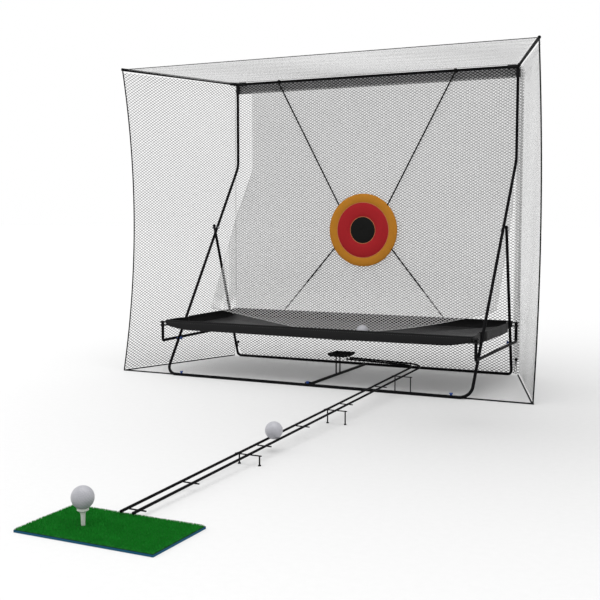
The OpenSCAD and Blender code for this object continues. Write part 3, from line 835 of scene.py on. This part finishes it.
# %% Back net
back_wide, back_high = cells(1147, CELL_WIDE), cells(1070, CELL_HIGH)
half_back = back_wide / 2
back_outline = [(-540, 1.5), (540, 1.5), (573, 60), (568, 1069), (-568, 1069), (-573, 60)]
back = flat_net(back_wide, back_high, [(x + half_back, z) for x, z in back_outline])
hang(back, lambda x, z, out: at(x - half_back, 531 - out, z))
back_net = piece("back_net", back, strand, "net_cord", replaces=["net_back"], smooth=False)

# %% Top net
top_wide, top_deep = cells(1450, CELL_WIDE), cells(494, CELL_HIGH)
half_top = top_wide / 2
front_half, rear_half = 724.3, 546
top_outline = [(-rear_half, 0.5), (rear_half, 0.5), (front_half, 493), (-front_half, 493)]
top_outline = [(x + half_top, z) for x, z in top_outline]


def ease(t):
    t = min(1, max(0, t))
    return t * t * (3 - 2 * t)


def on_top(x, z, out):
    across, forward = (x - half_top) / half_top, z / 494
    free = math.sin(math.pi * min(1, max(0, forward)))
    sag = 9 * (1 - min(1, across * across)) * free
    crowded = 4.5 * min(1, 3 * free) * math.sin(2 * math.pi * (z / 58 + x / 800))
    over_bar = 7 * (1 - ease(z / 60))
    return at(x - half_top, 514 + over_bar - z - crowded, 1072 + over_bar + 4 * forward - sag - out)


top = hang(flat_net(top_wide, top_deep, top_outline, 8), on_top)
top_net = piece("top_net", top, hitting_strand, "net_cord", replaces=["net_top"], smooth=False)

# %% Floor net
floor_wide, floor_deep = cells(1452, CELL_WIDE), cells(488, CELL_HIGH)
half_floor = floor_wide / 2


def on_floor(x, z, out):
    return at(x - half_floor, 14 + z, 1 - out * 0.6)


halves = []
for side in (-1, 1):
    ring = [(7, 0.5), (725.5, 0.5), (566, 487.5), (7, 487.5)]
    ring = [(half_floor + side * x, z) for x, z in (ring if side > 0 else ring[::-1])]
    halves.append(hang(flat_net(floor_wide, floor_deep, ring), on_floor))
take_in(halves[1], halves[0])
# Painted light: this net's strands are a much lighter copy of the netting.
floor_net = piece(
    "floor_net", halves[1], floor_strand_painted_lit, "net_cord", replaces=["net_floor"], smooth=False
)

# %% [markdown]
# Each side net is a twisted sheet: its rear edge is upright, and its front edge follows the
# bowed rope. It is made flat and then moved across between those two lines, with a slight
# billow so that it doesn't look like glass.

# %% Side nets
side_wide, side_high = cells(525, CELL_WIDE), cells(1058, CELL_HIGH)
ARM_LEAN = (735 - 552) / (522 - 16)


def on_side(side):
    def place(x, z, out):
        u, height = x / side_wide, 7 + z / side_high * 1059
        front = front_edge(height)
        front.x, front.y = front.x - 1.2, front.y + 3.6
        rear = Vector((566 + 9 * ease((280 - height) / 80), 527.5, height))
        point = front.lerp(rear, u)
        waves = math.sin(6.5 * u + 1.1) * math.sin(height / 130 + 2.5 * u)
        billow = math.sin(math.pi * min(1, max(0, u))) * (4 + 3 * waves)
        wide = point.x + billow * (1 - ease((height - 1000) / 60))
        beside_arm = 552 + (522 - point.y) * ARM_LEAN + 5.5
        wide += (beside_arm - wide) * ease((height - 1030) / 36)
        return at(side * (wide + out), point.y, point.z)

    return place


for name, side in (("left", -1), ("right", 1)):
    ring = [(0.3, 0.3), (side_wide - 0.3, 0.3), (side_wide - 0.3, side_high - 0.3)]
    ring.append((0.3, side_high - 0.3))
    shape = hang(flat_net(side_wide, side_high, ring, 40), on_side(side))
    made = piece(
        name + "_net", shape, strand, "net_cord", replaces=["net_" + name], smooth=False
    )

# %% [markdown]
# The hitting net is the one that takes the ball. It hangs from the top bar, stays behind the
# target, and is drawn forward at its foot, so that the ball drops into the tray. At its
# sides it leaves the upright tubes and follows the sloping legs. Its lower edge is one long
# curve that dips into the tray. Two nets, one behind the other, make broad light and dark
# bands. So this one's cells shrink as it comes forward, along lines to where the camera
# stands, and from there they keep in step with the back net's. From elsewhere bands do show.

# %% Hitting net
HIT_HALF, HIT_TOP = 545, 1040
# HIT_LEFT sets how far its cells lie beside the back net's. 11 mm gave an even, light tone.
HIT_LEFT, HIT_FOOT = -720, 100
SLANT_LOW, SLANT_TOP, SLANT_IN = 575, 740, 60
LEANS_TO, BACK_PLANE = Vector((1385, -2910, 563)), 531


def slack(start, z, soft):
    """How far z lies under start, easing in over soft millimetres each way."""
    if z > start + soft:
        return 0
    return start - z if z < start - soft else (start + soft - z) ** 2 / (4 * soft)


def hitting_edge(x):
    """Height of the lower edge."""
    return 145.5 + 0.00028 * (x + 55) ** 2


def hitting_left(z):
    """The left edge, which keeps clear of the upright tube and then follows the leg."""
    share = min(1, max(0, (z - SLANT_LOW) / (SLANT_TOP - SLANT_LOW)))
    return -HIT_HALF + SLANT_IN * share


def hitting_depth(x, z):
    """How far back the net hangs at x, z."""
    middle = 1 - min(1, abs(x) / HIT_HALF) ** 3.2
    at_side = 520 - 0.58 * slack(600, z, 40)
    at_middle = 518 - 0.000022 * max(0, 352 - z) ** 3
    return at_side + (at_middle - at_side) * middle


def gathered_in(x, z, out=0):
    """Where the point x, z of the flat net hangs. It moves along a line to the camera."""
    flat, share = Vector((x, BACK_PLANE, z)), 0.996
    for _ in range(5):
        place = LEANS_TO.lerp(flat, share)
        share = (hitting_depth(place.x, place.z) - LEANS_TO.y) / (BACK_PLANE - LEANS_TO.y)
    return LEANS_TO.lerp(flat, share) - Vector((0, out, 0))


def spread_out(x, z):
    """The point of the flat net that hangs at x, z."""
    share = (hitting_depth(x, z) - LEANS_TO.y) / (BACK_PLANE - LEANS_TO.y)
    return LEANS_TO.x + (x - LEANS_TO.x) / share, LEANS_TO.z + (z - LEANS_TO.z) / share


def on_net(x, z):
    """The same point on the sheet that is cut, counted from its own lower left corner."""
    wide, high = spread_out(x, z)
    return wide - HIT_LEFT, high - HIT_FOOT


steps = [-545, -300, -220, -140, -60, 20, 100, 180, 260, 340, 420, 480, 545]
ring = [on_net(x, hitting_edge(x)) for x in steps]
top_of_net = on_net(0, HIT_TOP)[1]
ring += [on_net(HIT_HALF, z) for z in (560, 640)] + [(on_net(HIT_HALF, HIT_TOP)[0], top_of_net)]
ring.append((ring[0][0], top_of_net))
levels = [hitting_edge(-HIT_HALF) + 8, SLANT_LOW, SLANT_TOP, HIT_TOP]
notches = []
for low, high in zip(levels, levels[1:]):
    (x, z), (next_x, next_z) = on_net(hitting_left(low), low), on_net(hitting_left(high), high)
    out = Vector((z - next_z, 0, next_x - x)).normalized()
    notches.append((z, next_z, Vector((x, 0, z)), out))
hit_wide = cells(ring[-3][0], CELL_WIDE)
hit_high = cells(top_of_net, CELL_HIGH)
hitting = flat_net(hit_wide, hit_high, ring, 110, notches)
hang(hitting, lambda x, z, out: at(*gathered_in(x + HIT_LEFT, z + HIT_FOOT, out)))
hitting_net = piece(
    "hitting_net", hitting, hitting_strand, "net_cord", replaces=["net_hitting"], smooth=False
)

# %% [markdown]
# Thin cords are threaded along the nets' hidden edges: down the rear corners, along the top
# bar and round the hitting net. They keep the cut strands from fraying.

# %% Edge cords of the nets
def edge_cord(name, points, thick=1.3, finish=hitting_strand):
    return piece(name, rope(points, thick, lay=8, sides=8, step=4), finish, "edge_rope")


def hung(x, z):
    return Vector((x, hitting_depth(x, z), z))


sides = [-HIT_HALF + 2 * HIT_HALF * i / 36 for i in range(37)]
edge_cord("hitting_hem", [hung(x, hitting_edge(x)) for x in sides], 1.8)
for name, side in (("left", -1), ("right", 1)):
    low = hitting_edge(side * HIT_HALF)
    levels = [low + (HIT_TOP - low) * i / 36 for i in range(37)]
    line = [hung(hitting_left(z) if side < 0 else HIT_HALF, z) for z in levels]
    edge_cord("hitting_edge_" + name, line)
    corner = [on_side(side)(side_wide, side_high * i / 20, 0) for i in range(21)]
    corner = [drawn(place) for place in corner]
    edge_cord("rear_seam_" + name, corner)
edge_cord("back_hem", [(-540, 531, 2), (540, 531, 2)], 2.2, grey_rope)
edge_cord("top_seam", [(-546, 521.5, 1079.6), (546, 521.5, 1079.6)], 2.2, grey_rope)

# %% [markdown]
# Under the top bar the net is folded double and backed with a strip of grey cloth, where it is
# tied to the tube and takes most wear. The fold is a strip of thicker, blacker net on the back
# net's own cells, and the cloth behind it is one thin sheet with a shallow wave along it.

# %% Overlap at one rear corner
overlap = flat_net(34, side_high, [(8, 1), (29, 1), (29, 1058), (8, 1058)])
hang(overlap, lambda x, z, out: at(x + 544, 529.4 - out, z + 4))
corner_overlap = piece("corner_overlap_net", overlap, strand, "net_cord", smooth=False)

# %% Top band
BAND_HALF, BAND_LOW, BAND_HIGH = 560, 1035.5, 1070
fold_foot = 1030
left, right = half_back - BAND_HALF, half_back + BAND_HALF
low, high = BAND_LOW - fold_foot, BAND_HIGH - fold_foot
ring = [(left, low), (right, low), (right, high), (left, high)]
fold = flat_net(back_wide, 40, ring, radius=1.35)
hang(fold, lambda x, z, out: at(x - half_back, 529.6 - out, z + fold_foot))
folded = piece("top_fold_net", fold, hem_strand, "net_cord", smooth=False)


def band_point(u, v):
    x = BAND_HALF * (2 * v - 1)
    wave = 0.3 * math.sin(x / 37) + 0.2 * math.sin(x / 13)
    return at(x, 532.6 + wave * (1 - u), BAND_LOW + (BAND_HIGH - BAND_LOW) * u)


band = piece(
    "top_band_cloth",
    shaped_grid(6, 220, band_point, 34.5, 2 * BAND_HALF),
    *(band_cloth, "black_cloth"),
    replaces=["top_band"],
)
thick = band.modifiers.new("thickness", "SOLIDIFY")
thick.thickness, thick.offset = 0.0008, 0

# %% [markdown]
# ## Target and cords
# The target is three padded rings of coloured cloth over foam, sewn to each other. A flat
# disc would show one even tone, while a padded ring turns paler above and darker below. So
# each ring's rounded section is spun about the target's axis. The cords run from the frame
# to the target's rim.

# %% Rings
TARGET = Vector((-13, 505.5, 507))


def padded_ring(name, outer, inner, front, finish, slot, node):
    """A ring of padding about the target's axis. front is how far it stands out."""
    shape = bmesh.new()
    edge, back = 2.6, 2.5
    section = [(inner, back), (inner, -back + edge)]
    for step in range(1, 6):
        turn = math.radians(18 * step)
        section.append((inner + edge * (1 - math.cos(turn)), edge - back - edge * math.sin(turn)))
    wide = outer - inner - 2 * edge
    for step in range(1, 10):
        swell = math.sin(math.pi * step / 10) ** 0.6 * front
        section.append((inner + edge + wide * step / 10, -back - swell))
    for step in range(6):
        turn = math.radians(18 * step)
        section.append((outer - edge * (1 - math.sin(turn)), edge - back - edge * math.cos(turn)))
    section.append((outer, back))
    points = [shape.verts.new((radius, 0, depth)) for radius, depth in section]
    edges = [shape.edges.new(pair) for pair in zip(points, points[1:])]
    if inner > 0:
        edges.append(shape.edges.new((points[-1], points[0])))
    else:
        hub = shape.verts.new((0, 0, back))
        edges.append(shape.edges.new((points[-1], hub)))
    bmesh.ops.spin(
        shape,
        geom=points + edges,
        axis=(0, 0, 1),
        cent=(0, 0, 0),
        dvec=(0, 0, 0),
        angle=2 * math.pi,
        steps=120,
        use_merge=True,
    )
    bmesh.ops.remove_doubles(shape, verts=shape.verts, dist=0.001)
    bmesh.ops.dissolve_degenerate(shape, edges=shape.edges, dist=0.0001)
    bmesh.ops.recalc_face_normals(shape, faces=shape.faces)
    cloth = shape.loops.layers.uv.new("cloth")
    for face in shape.faces:
        for corner in face.loops:
            corner[cloth].uv = corner.vert.co.xy
    upright = Matrix.Translation(at(*TARGET)) @ Matrix.Rotation(-math.pi / 2, 4, "X")
    bmesh.ops.transform(shape, verts=shape.verts, matrix=upright @ Matrix.Scale(MM, 4))
    made = piece(name, shape, finish, slot, "target", [node])
    return made


padded_ring("outer_ring", 135, 102.6, 2.2, ochre_cloth, "orange_cloth", "target_outer")
padded_ring("red_ring", 102.5, 49.6, 3.4, red_cloth, "red_cloth", "target_red")
padded_ring("centre_pad", 49.5, 0, 2.0, centre_cloth, "black_centre", "target_black")

# %% Piping in the two seams
def seam_piping(name, radius, finish, slot):
    turns = [2 * math.pi * i / 96 for i in range(97)]
    line = [TARGET + Vector((radius * math.cos(t), -1.9, radius * math.sin(t))) for t in turns]
    return piece(name, rope(line, 1.8, lay=90, depth=0, sides=8, step=4), finish, slot, "target")


seam_piping("piping_outer", 102.5, piping_cloth, "orange_cloth")
seam_piping("piping_inner", 49.6, piping_cloth, "red_cloth")

# %% Cords of the target
RIM = 136.6


def target_cord(name, x, z, end, node):
    way = Vector((x - TARGET.x, 0, z - TARGET.z)).normalized()
    start = TARGET + way * (RIM - 4)
    end = Vector(end)
    cord = piece(
        name,
        rope([end, start], 5.5, lay=16, strands=6, depth=0.05, sides=18, step=3),
        *(target_rope, "target_cord", None, [node]),
    )
    at(*end)
    at(*start)
    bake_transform(cord)
    return cord


target_cord("cord_up_left", -110, 599, (-368, 514, 1068), "cord_upper_left")
target_cord("cord_up_right", 84, 599, (332, 514, 1068), "cord_upper_right")
target_cord("cord_down_left", -132, 436, (-339, 505.5, 196), "cord_lower_left")
target_cord("cord_down_right", 106, 436, (301, 505.5, 196), "cord_lower_right")

# %% [markdown]
# The cords have to end in something. Each upper cord goes three times round the top bar. The
# lower ones end plainly at the tray's rear hem.


# %% Windings on the bar
def winding(middle, radius, thick, turns, pitch):
    """A cord wound along X round a level bar."""
    steps = int(turns * 24)
    points = []
    for i in range(steps + 1):
        turn = 2 * math.pi * i / 24
        points.append(
            Vector(middle)
            + Vector((pitch * i / 24, -radius * math.cos(turn), radius * math.sin(turn)))
        )
    return rope(points, thick, lay=12, strands=6, depth=0.05, sides=10, step=1.6)


gathered(
    "cord_windings",
    [winding((side * 350 - 23, 522, 1072), 6.9, 2.2, 3, 2.6) for side in (-1, 1)],
    *(target_rope, "target_cord"),
)

# %% [markdown]
# ## The ball tray
# The tray is coated black cloth, cut so that its floor falls from a level rim to one round
# outlet. Stretched cloth takes the straightest way between the rim and the outlet, so the
# floor is a ruled surface: every line from the outlet's edge to the rim is straight, which
# gives the faint creases at the corners. Above it the cloth stands up as a lip. One grid does
# both, and where the sloping tubes pass, the wall is pressed inwards.

# %% Tray shape
TRAY_X, TRAY_FRONT, TRAY_REAR = 555, 1.5, 505.5
RIM_Z, LIP, OUTLET = 193, 31, Vector((17, 229, 131.5))
OUTLET_RADIUS = 31
TRAY_MIDDLE, FLOOR_PART, CLOTH_LONG = 253, 0.8, 300


def pressed(y):
    """How far the end wall is pushed in by the leg and the strut."""
    leg = max(0, 1 - ((y - 118) / 44) ** 2) ** 2 * 15
    strut = max(0, 1 - ((y - 461) / 34) ** 2) ** 2 * 11
    return leg + strut


def rim_point(u):
    """A point on the tray's outline, u from 0 to 1, anticlockwise from the rear right."""
    wide, deep = 2 * TRAY_X, TRAY_REAR - TRAY_FRONT
    far = u * 2 * (wide + deep)
    if far < wide:
        return Vector((TRAY_X - far, TRAY_REAR, 0))
    far -= wide
    if far < deep:
        return Vector((-TRAY_X, TRAY_REAR - far, 0))
    far -= deep
    if far < wide:
        return Vector((-TRAY_X + far, TRAY_FRONT, 0))
    return Vector((TRAY_X, TRAY_FRONT + far - wide, 0))


def corner_rise(x, y):
    """The lower edge of the lip curves up towards each corner."""
    gap = TRAY_X - abs(x) + min(y - TRAY_FRONT, TRAY_REAR - y)
    near = min(1, max(0, 1 - gap / 95))
    return 15 * near**1.6


def tray_point(u, v):
    """v runs from the outlet (0) over the floor to the foot of the lip (0.8) and its top (1)."""
    rim = rim_point(u)
    x, y = rim.x, rim.y
    near_corner = max(0, 1 - (TRAY_X - abs(x) + min(y - TRAY_FRONT, TRAY_REAR - y)) / 26)
    x -= math.copysign(2 * near_corner**2, x)
    y += math.copysign(near_corner**2, TRAY_MIDDLE - y)
    if abs(rim.x) == TRAY_X:
        x -= math.copysign(pressed(y), x)
    foot = RIM_Z - LIP + corner_rise(rim.x, rim.y)
    away = Vector((x, y, 0)) - Vector((OUTLET.x, OUTLET.y, 0))
    hole = Vector((OUTLET.x, OUTLET.y, 0)) + away.normalized() * OUTLET_RADIUS
    floor_share = min(1, v / FLOOR_PART)
    if v <= FLOOR_PART:
        place = hole.lerp(Vector((x, y, 0)), floor_share)
        wrinkle = 0.9 * noise.noise(place / 60) + 0.5 * noise.noise(place / 24)
        wrinkle *= math.sin(math.pi * floor_share)
        z = OUTLET.z + (foot - OUTLET.z) * floor_share + wrinkle
        return at(place.x, place.y, z + 1)
    up = (v - FLOOR_PART) / 0.2
    bulge = 1.6 * math.sin(math.pi * up) * (1 - near_corner)
    bulge += 0.8 * noise.noise(Vector((x, y, 40)) / 45) * math.sin(math.pi * up)
    if abs(rim.x) == TRAY_X:
        outward = Vector((math.copysign(1, x), 0, 0))
    else:
        outward = Vector((0, math.copysign(1, y - TRAY_MIDDLE), 0))
    place = Vector((x, y, 0)) + outward * bulge
    return at(place.x, place.y, foot + (RIM_Z - foot) * up)


around, out_steps = 648, 50
girth = 2 * (2 * TRAY_X + TRAY_REAR - TRAY_FRONT)
tray_shape = shaped_grid(around, out_steps, tray_point, girth, CLOTH_LONG, joined=True)
tray = piece("tray_cloth_sheet", tray_shape, tray_cloth, "black_cloth", replaces=["tray"])
# The floor faces get the lighter copy of the cloth: painted light.
tray.data.materials.append(tray_floor_cloth_painted_lit.material)
for face in tray.data.polygons:
    marks = [tray.data.uv_layers["cloth"].data[i].uv.x / CLOTH_LONG for i in face.loop_indices]
    face.material_index = 1 if sum(marks) / len(marks) < FLOOR_PART else 0
thick = tray.modifiers.new("thickness", "SOLIDIFY")
thick.thickness, thick.offset = 0.0015, 0

# %% [markdown]
# The tray's edges are bound. A round binding runs along the rim and round the outlet, a row
# of stitches runs just below it, and short straps tie each corner to its bracket post.

# %% Rim binding, outlet binding and stitches
rim_line = [tray_point((i % around) / around, 1) for i in range(around + 1)]
rim_line = [drawn(place) for place in rim_line]
binding = rope(rim_line[::3] + [rim_line[0]], 4.2, lay=400, depth=0, sides=10, step=6)
outlet_line = [
    OUTLET
    + Vector((OUTLET_RADIUS * math.cos(turn), OUTLET_RADIUS * math.sin(turn), 1))
    for turn in (2 * math.pi * i / 60 for i in range(61))
]
outlet_edge = rope(outlet_line, 3.4, lay=400, depth=0, sides=10, step=3)
gathered("tray_binding", [binding, outlet_edge], tray_cloth, "black_cloth")

thread = speckled(
    *("grey_thread", grey(0.02)[:3], grey(0.05)[:3], (1500, 2), (0.3, 0.4)),
    bump=(0.0002, 0.5),
    Roughness=0.6,
)


def stitch_row(line, below, length=4.2, gap=7.5):
    """Short threads along a closed line, a little below it and outside the cloth."""
    run = Run(line)
    middle = Vector((0, TRAY_MIDDLE, 0))
    shapes = bmesh.new()
    bmesh.ops.create_uvsphere(shapes, u_segments=6, v_segments=4, radius=0.5)
    bmesh.ops.scale(shapes, verts=shapes.verts, vec=(length, 1, 1))
    count = int(run.length / gap)
    repeat(shapes, (0, 0, 100), count)
    points = shapes.verts[:]
    each = len(points) // count
    for i in range(count):
        place = run.at(i * gap)
        heading = run.heading(i * gap)
        out = Vector((heading.y, -heading.x, 0))
        if out.dot(place - middle) < 0:
            out = -out
        base = place + out * 1.4 - Vector((0, 0, below))
        for point in points[i * each : (i + 1) * each]:
            local = point.co - Vector((0, 0, 100 * i))
            point.co = at(*(base + heading * local.x + out * local.y + Vector((0, 0, local.z))))
    return shapes


piece("tray_stitches", stitch_row(rim_line[::3], 5.5), thread, "black_cloth")


# %% Corner straps
def corner_strap(side, y):
    """Two thick loops from the tray's corner round the bracket post."""
    post = Vector((side * 566, y, 0))
    inward = 1 if y < TRAY_MIDDLE else -1
    corner = Vector((side * (TRAY_X - 5), y + inward * 5, 0))
    bands = []
    for z in (187.6, 176.6):
        points = [corner + Vector((0, 0, z))]
        first = math.atan2(corner.y - post.y, corner.x - post.x)
        for step in range(25):
            turn = first + math.radians(40) + math.radians(280) * step / 24
            points.append(post + Vector((7.4 * math.cos(turn), 7.4 * math.sin(turn), z)))
        points.append(corner + Vector((0, 0, z)) + Vector((0.6, 0.6, 0)))
        bands.append(rope(points, 4.6, lay=300, depth=0, sides=12, step=1.5))
    return bands


straps = []
for side in (-1, 1):
    for y in (0, 507):
        straps += corner_strap(side, y)
gathered("corner_straps", straps, tray_cloth, "black_cloth", replaces=["tray_loops"])

# %% [markdown]
# ## Golf balls
# A golf ball's dimples show at its outline and in its highlight, so they are shape and not
# bump. An icosphere has even faces and no poles. The dimples' centres lie on a golden spiral,
# and each point of the sphere that is near a centre is pressed in by a shallow bowl.

# %% Balls
BALL_RADIUS, DIMPLES, DIMPLE_RADIUS, DIMPLE_DEPTH = 21.335, 332, 1.82, 0.32
golden = math.pi * (3 - math.sqrt(5))
centres = kdtree.KDTree(DIMPLES)
for i in range(DIMPLES):
    z = 1 - 2 * (i + 0.5) / DIMPLES
    ring = math.sqrt(1 - z * z)
    turn = golden * i
    centres.insert(Vector((ring * math.cos(turn), ring * math.sin(turn), z)) * BALL_RADIUS, i)
centres.balance()


def golf_ball(name, middle, body, node, turn):
    shape = bmesh.new()
    bmesh.ops.create_icosphere(shape, subdivisions=7, radius=BALL_RADIUS)
    for point in shape.verts:
        gap = centres.find(point.co)[2] / DIMPLE_RADIUS
        if gap < 1:
            bowl = (1 - gap * gap) ** 0.8
            point.co *= 1 - DIMPLE_DEPTH * bowl / BALL_RADIUS
    turned = Matrix.Rotation(math.radians(turn), 4, (0.4, 0.8, 0.3))
    bmesh.ops.transform(
        shape,
        verts=shape.verts,
        matrix=Matrix.Translation(at(*middle)) @ Matrix.Scale(MM, 4) @ turned,
    )
    return piece(name, shape, ball_cover, "ball_cover", body, [node])


golf_ball("ball_on_tee", (275.5, -1517.5, 58.45), "ball_tee", "ball_tee", 20)
golf_ball("ball_on_rail", (315.25, -848.7, 51.5), "ball_rail", "ball_rail", 75)
golf_ball("ball_in_tray", (76.7, 286.3, 157.6), "ball_tray", "ball_tray", 130)

# %% [markdown]
# ## Turf
# Turf is a carpet of short, crinkled blades. A bump on a green slab would leave the mat with
# a straight, hard edge. So one small patch of bent blades is made once and repeated by
# doubling over the mat, and slow noise then leans the blades and ruffles the edge. A low
# slab under them hides the gaps. Both keep clear of the hole for the tee.
#
# The blades aren't the same each run: noise_vector gives other values each time Blender
# starts, unless noise.seed_set is called first, which this script doesn't do. noise.noise
# gives the same values without it.

# %% Turf blades
MAT_LEFT, MAT_FRONT, MAT_WIDE, MAT_LONG = 175.5, -1587, 298, 167
MAT_BASE = 4.5
TURF_INSET, TEE_HOLE = 1.5, Vector((275.5, -1517.5, 0))
TUFT, TUFTS, HOLE_RADIUS = 2.6, 11, 4.6


def blade(shape, foot, lean, turn, tall, wide):
    """Three faces: a bent strip that ends in a point."""
    way = Vector((math.cos(turn), math.sin(turn), 0))
    side = Vector((-way.y, way.x, 0)) * wide / 2
    knee = foot + way * lean * 0.35 + Vector((0, 0, tall * 0.6))
    tip = foot + way * lean + Vector((0, 0, tall))
    corners = (foot - side, foot + side, knee + side, knee - side, tip)
    a, b, c, d, e = (shape.verts.new(place) for place in corners)
    shape.faces.new((a, b, c, d))
    shape.faces.new((d, c, e))


def turf_patch(tufts, seed):
    """A square of tufts × tufts blades. seed only shifts where the noise is read."""
    shape = bmesh.new()
    for i in range(tufts * tufts):
        row, column = divmod(i, tufts)
        wild = noise.noise_vector(Vector((row * 3.7 + seed, column * 5.3, i * 0.77)))
        foot = Vector(((column + 0.5 + wild.x * 0.7) * TUFT, (row + 0.5 + wild.y * 0.7) * TUFT, 0))
        for k in range(4):
            spread = noise.noise_vector(Vector((i * 1.31 + k * 9.1, seed + k, row)))
            blade(
                shape,
                foot + Vector((spread.x, spread.y, 0)) * 1.1,
                1.6 + 1.4 * spread.z,
                wild.z * 9 + k * 1.7,
                4.9 + 0.8 * spread.x,
                0.75,
            )
    return shape


turf = turf_patch(TUFTS, 4)
span = TUFTS * TUFT - 0.8
across_count, along_count = math.ceil(MAT_WIDE / span), math.ceil(MAT_LONG / span)
repeat(turf, (span, 0, 0), across_count)
repeat(turf, (0, span, 0), along_count)
low_x, high_x = MAT_LEFT + TURF_INSET, MAT_LEFT + MAT_WIDE - TURF_INSET
low_y, high_y = MAT_FRONT + TURF_INSET, MAT_FRONT + MAT_LONG - TURF_INSET
away = []
for face in turf.faces:
    middle = face.calc_center_median()
    x, y = MAT_LEFT + middle.x, MAT_FRONT + middle.y
    ragged = 1.3 * noise.noise(Vector((x, y, 7)) / 9)
    near_tee = (Vector((x, y, 0)) - TEE_HOLE).length < 5.4
    on_mat = low_x + ragged < x < high_x + ragged and low_y + ragged < y < high_y + ragged
    if near_tee or not on_mat:
        away.append(face)
bmesh.ops.delete(turf, geom=away, context="FACES")
for point in turf.verts:
    x, y, z = MAT_LEFT + point.co.x, MAT_FRONT + point.co.y, point.co.z
    sway = noise.noise_vector(Vector((x, y, 0)) / 23) * 1.1
    lower = 1 - 0.12 * noise.noise(Vector((x, y, 3)) / 40)
    edge = min(x - low_x, high_x - x, y - low_y, high_y - y)
    rounded = 1 - 0.35 * max(0, 1 - max(0, edge) / 6) ** 2
    bend = z / 5
    point.co = at(x + sway.x * bend, y + sway.y * bend, MAT_BASE + 0.1 + z * lower * rounded)
piece("turf_blades", turf, grass, "turf", "mat", ["mat_turf"], smooth=False)


def turf_bed(u, v):
    x, y = low_x + (high_x - low_x) * u, low_y + (high_y - low_y) * v
    edge = min(x - low_x, high_x - x, y - low_y, high_y - y)
    z = MAT_BASE + 0.1 + 1.2 * min(1, edge / 3) ** 0.5 + 0.35 * noise.noise(Vector((x, y, 0)) / 3)
    gap = Vector((x, y, 0)) - TEE_HOLE
    if gap.length < HOLE_RADIUS:
        gap = gap.normalized() * HOLE_RADIUS if gap.length > 0.1 else Vector((HOLE_RADIUS, 0, 0))
        x, y = TEE_HOLE.x + gap.x, TEE_HOLE.y + gap.y
    return at(x, y, z)


bed = shaped_grid(140, 80, turf_bed, 1, 1)
small = [face for face in bed.faces if face.calc_area() < 0.000000001]
bmesh.ops.delete(bed, geom=small, context="FACES")
piece("turf_bed", bed, grass, "turf", "mat", smooth=False)

# %% [markdown]
# ## The size, and the end
# Both boxes, the CAD model's and the visual model's, are shown at the end.

# %% Size and finish
low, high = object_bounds()
{"cad": [list(cad_low), list(cad_high)], "visual": [list(low), list(high)]}
print("visual box", [round(side, 3) for side in high - low])
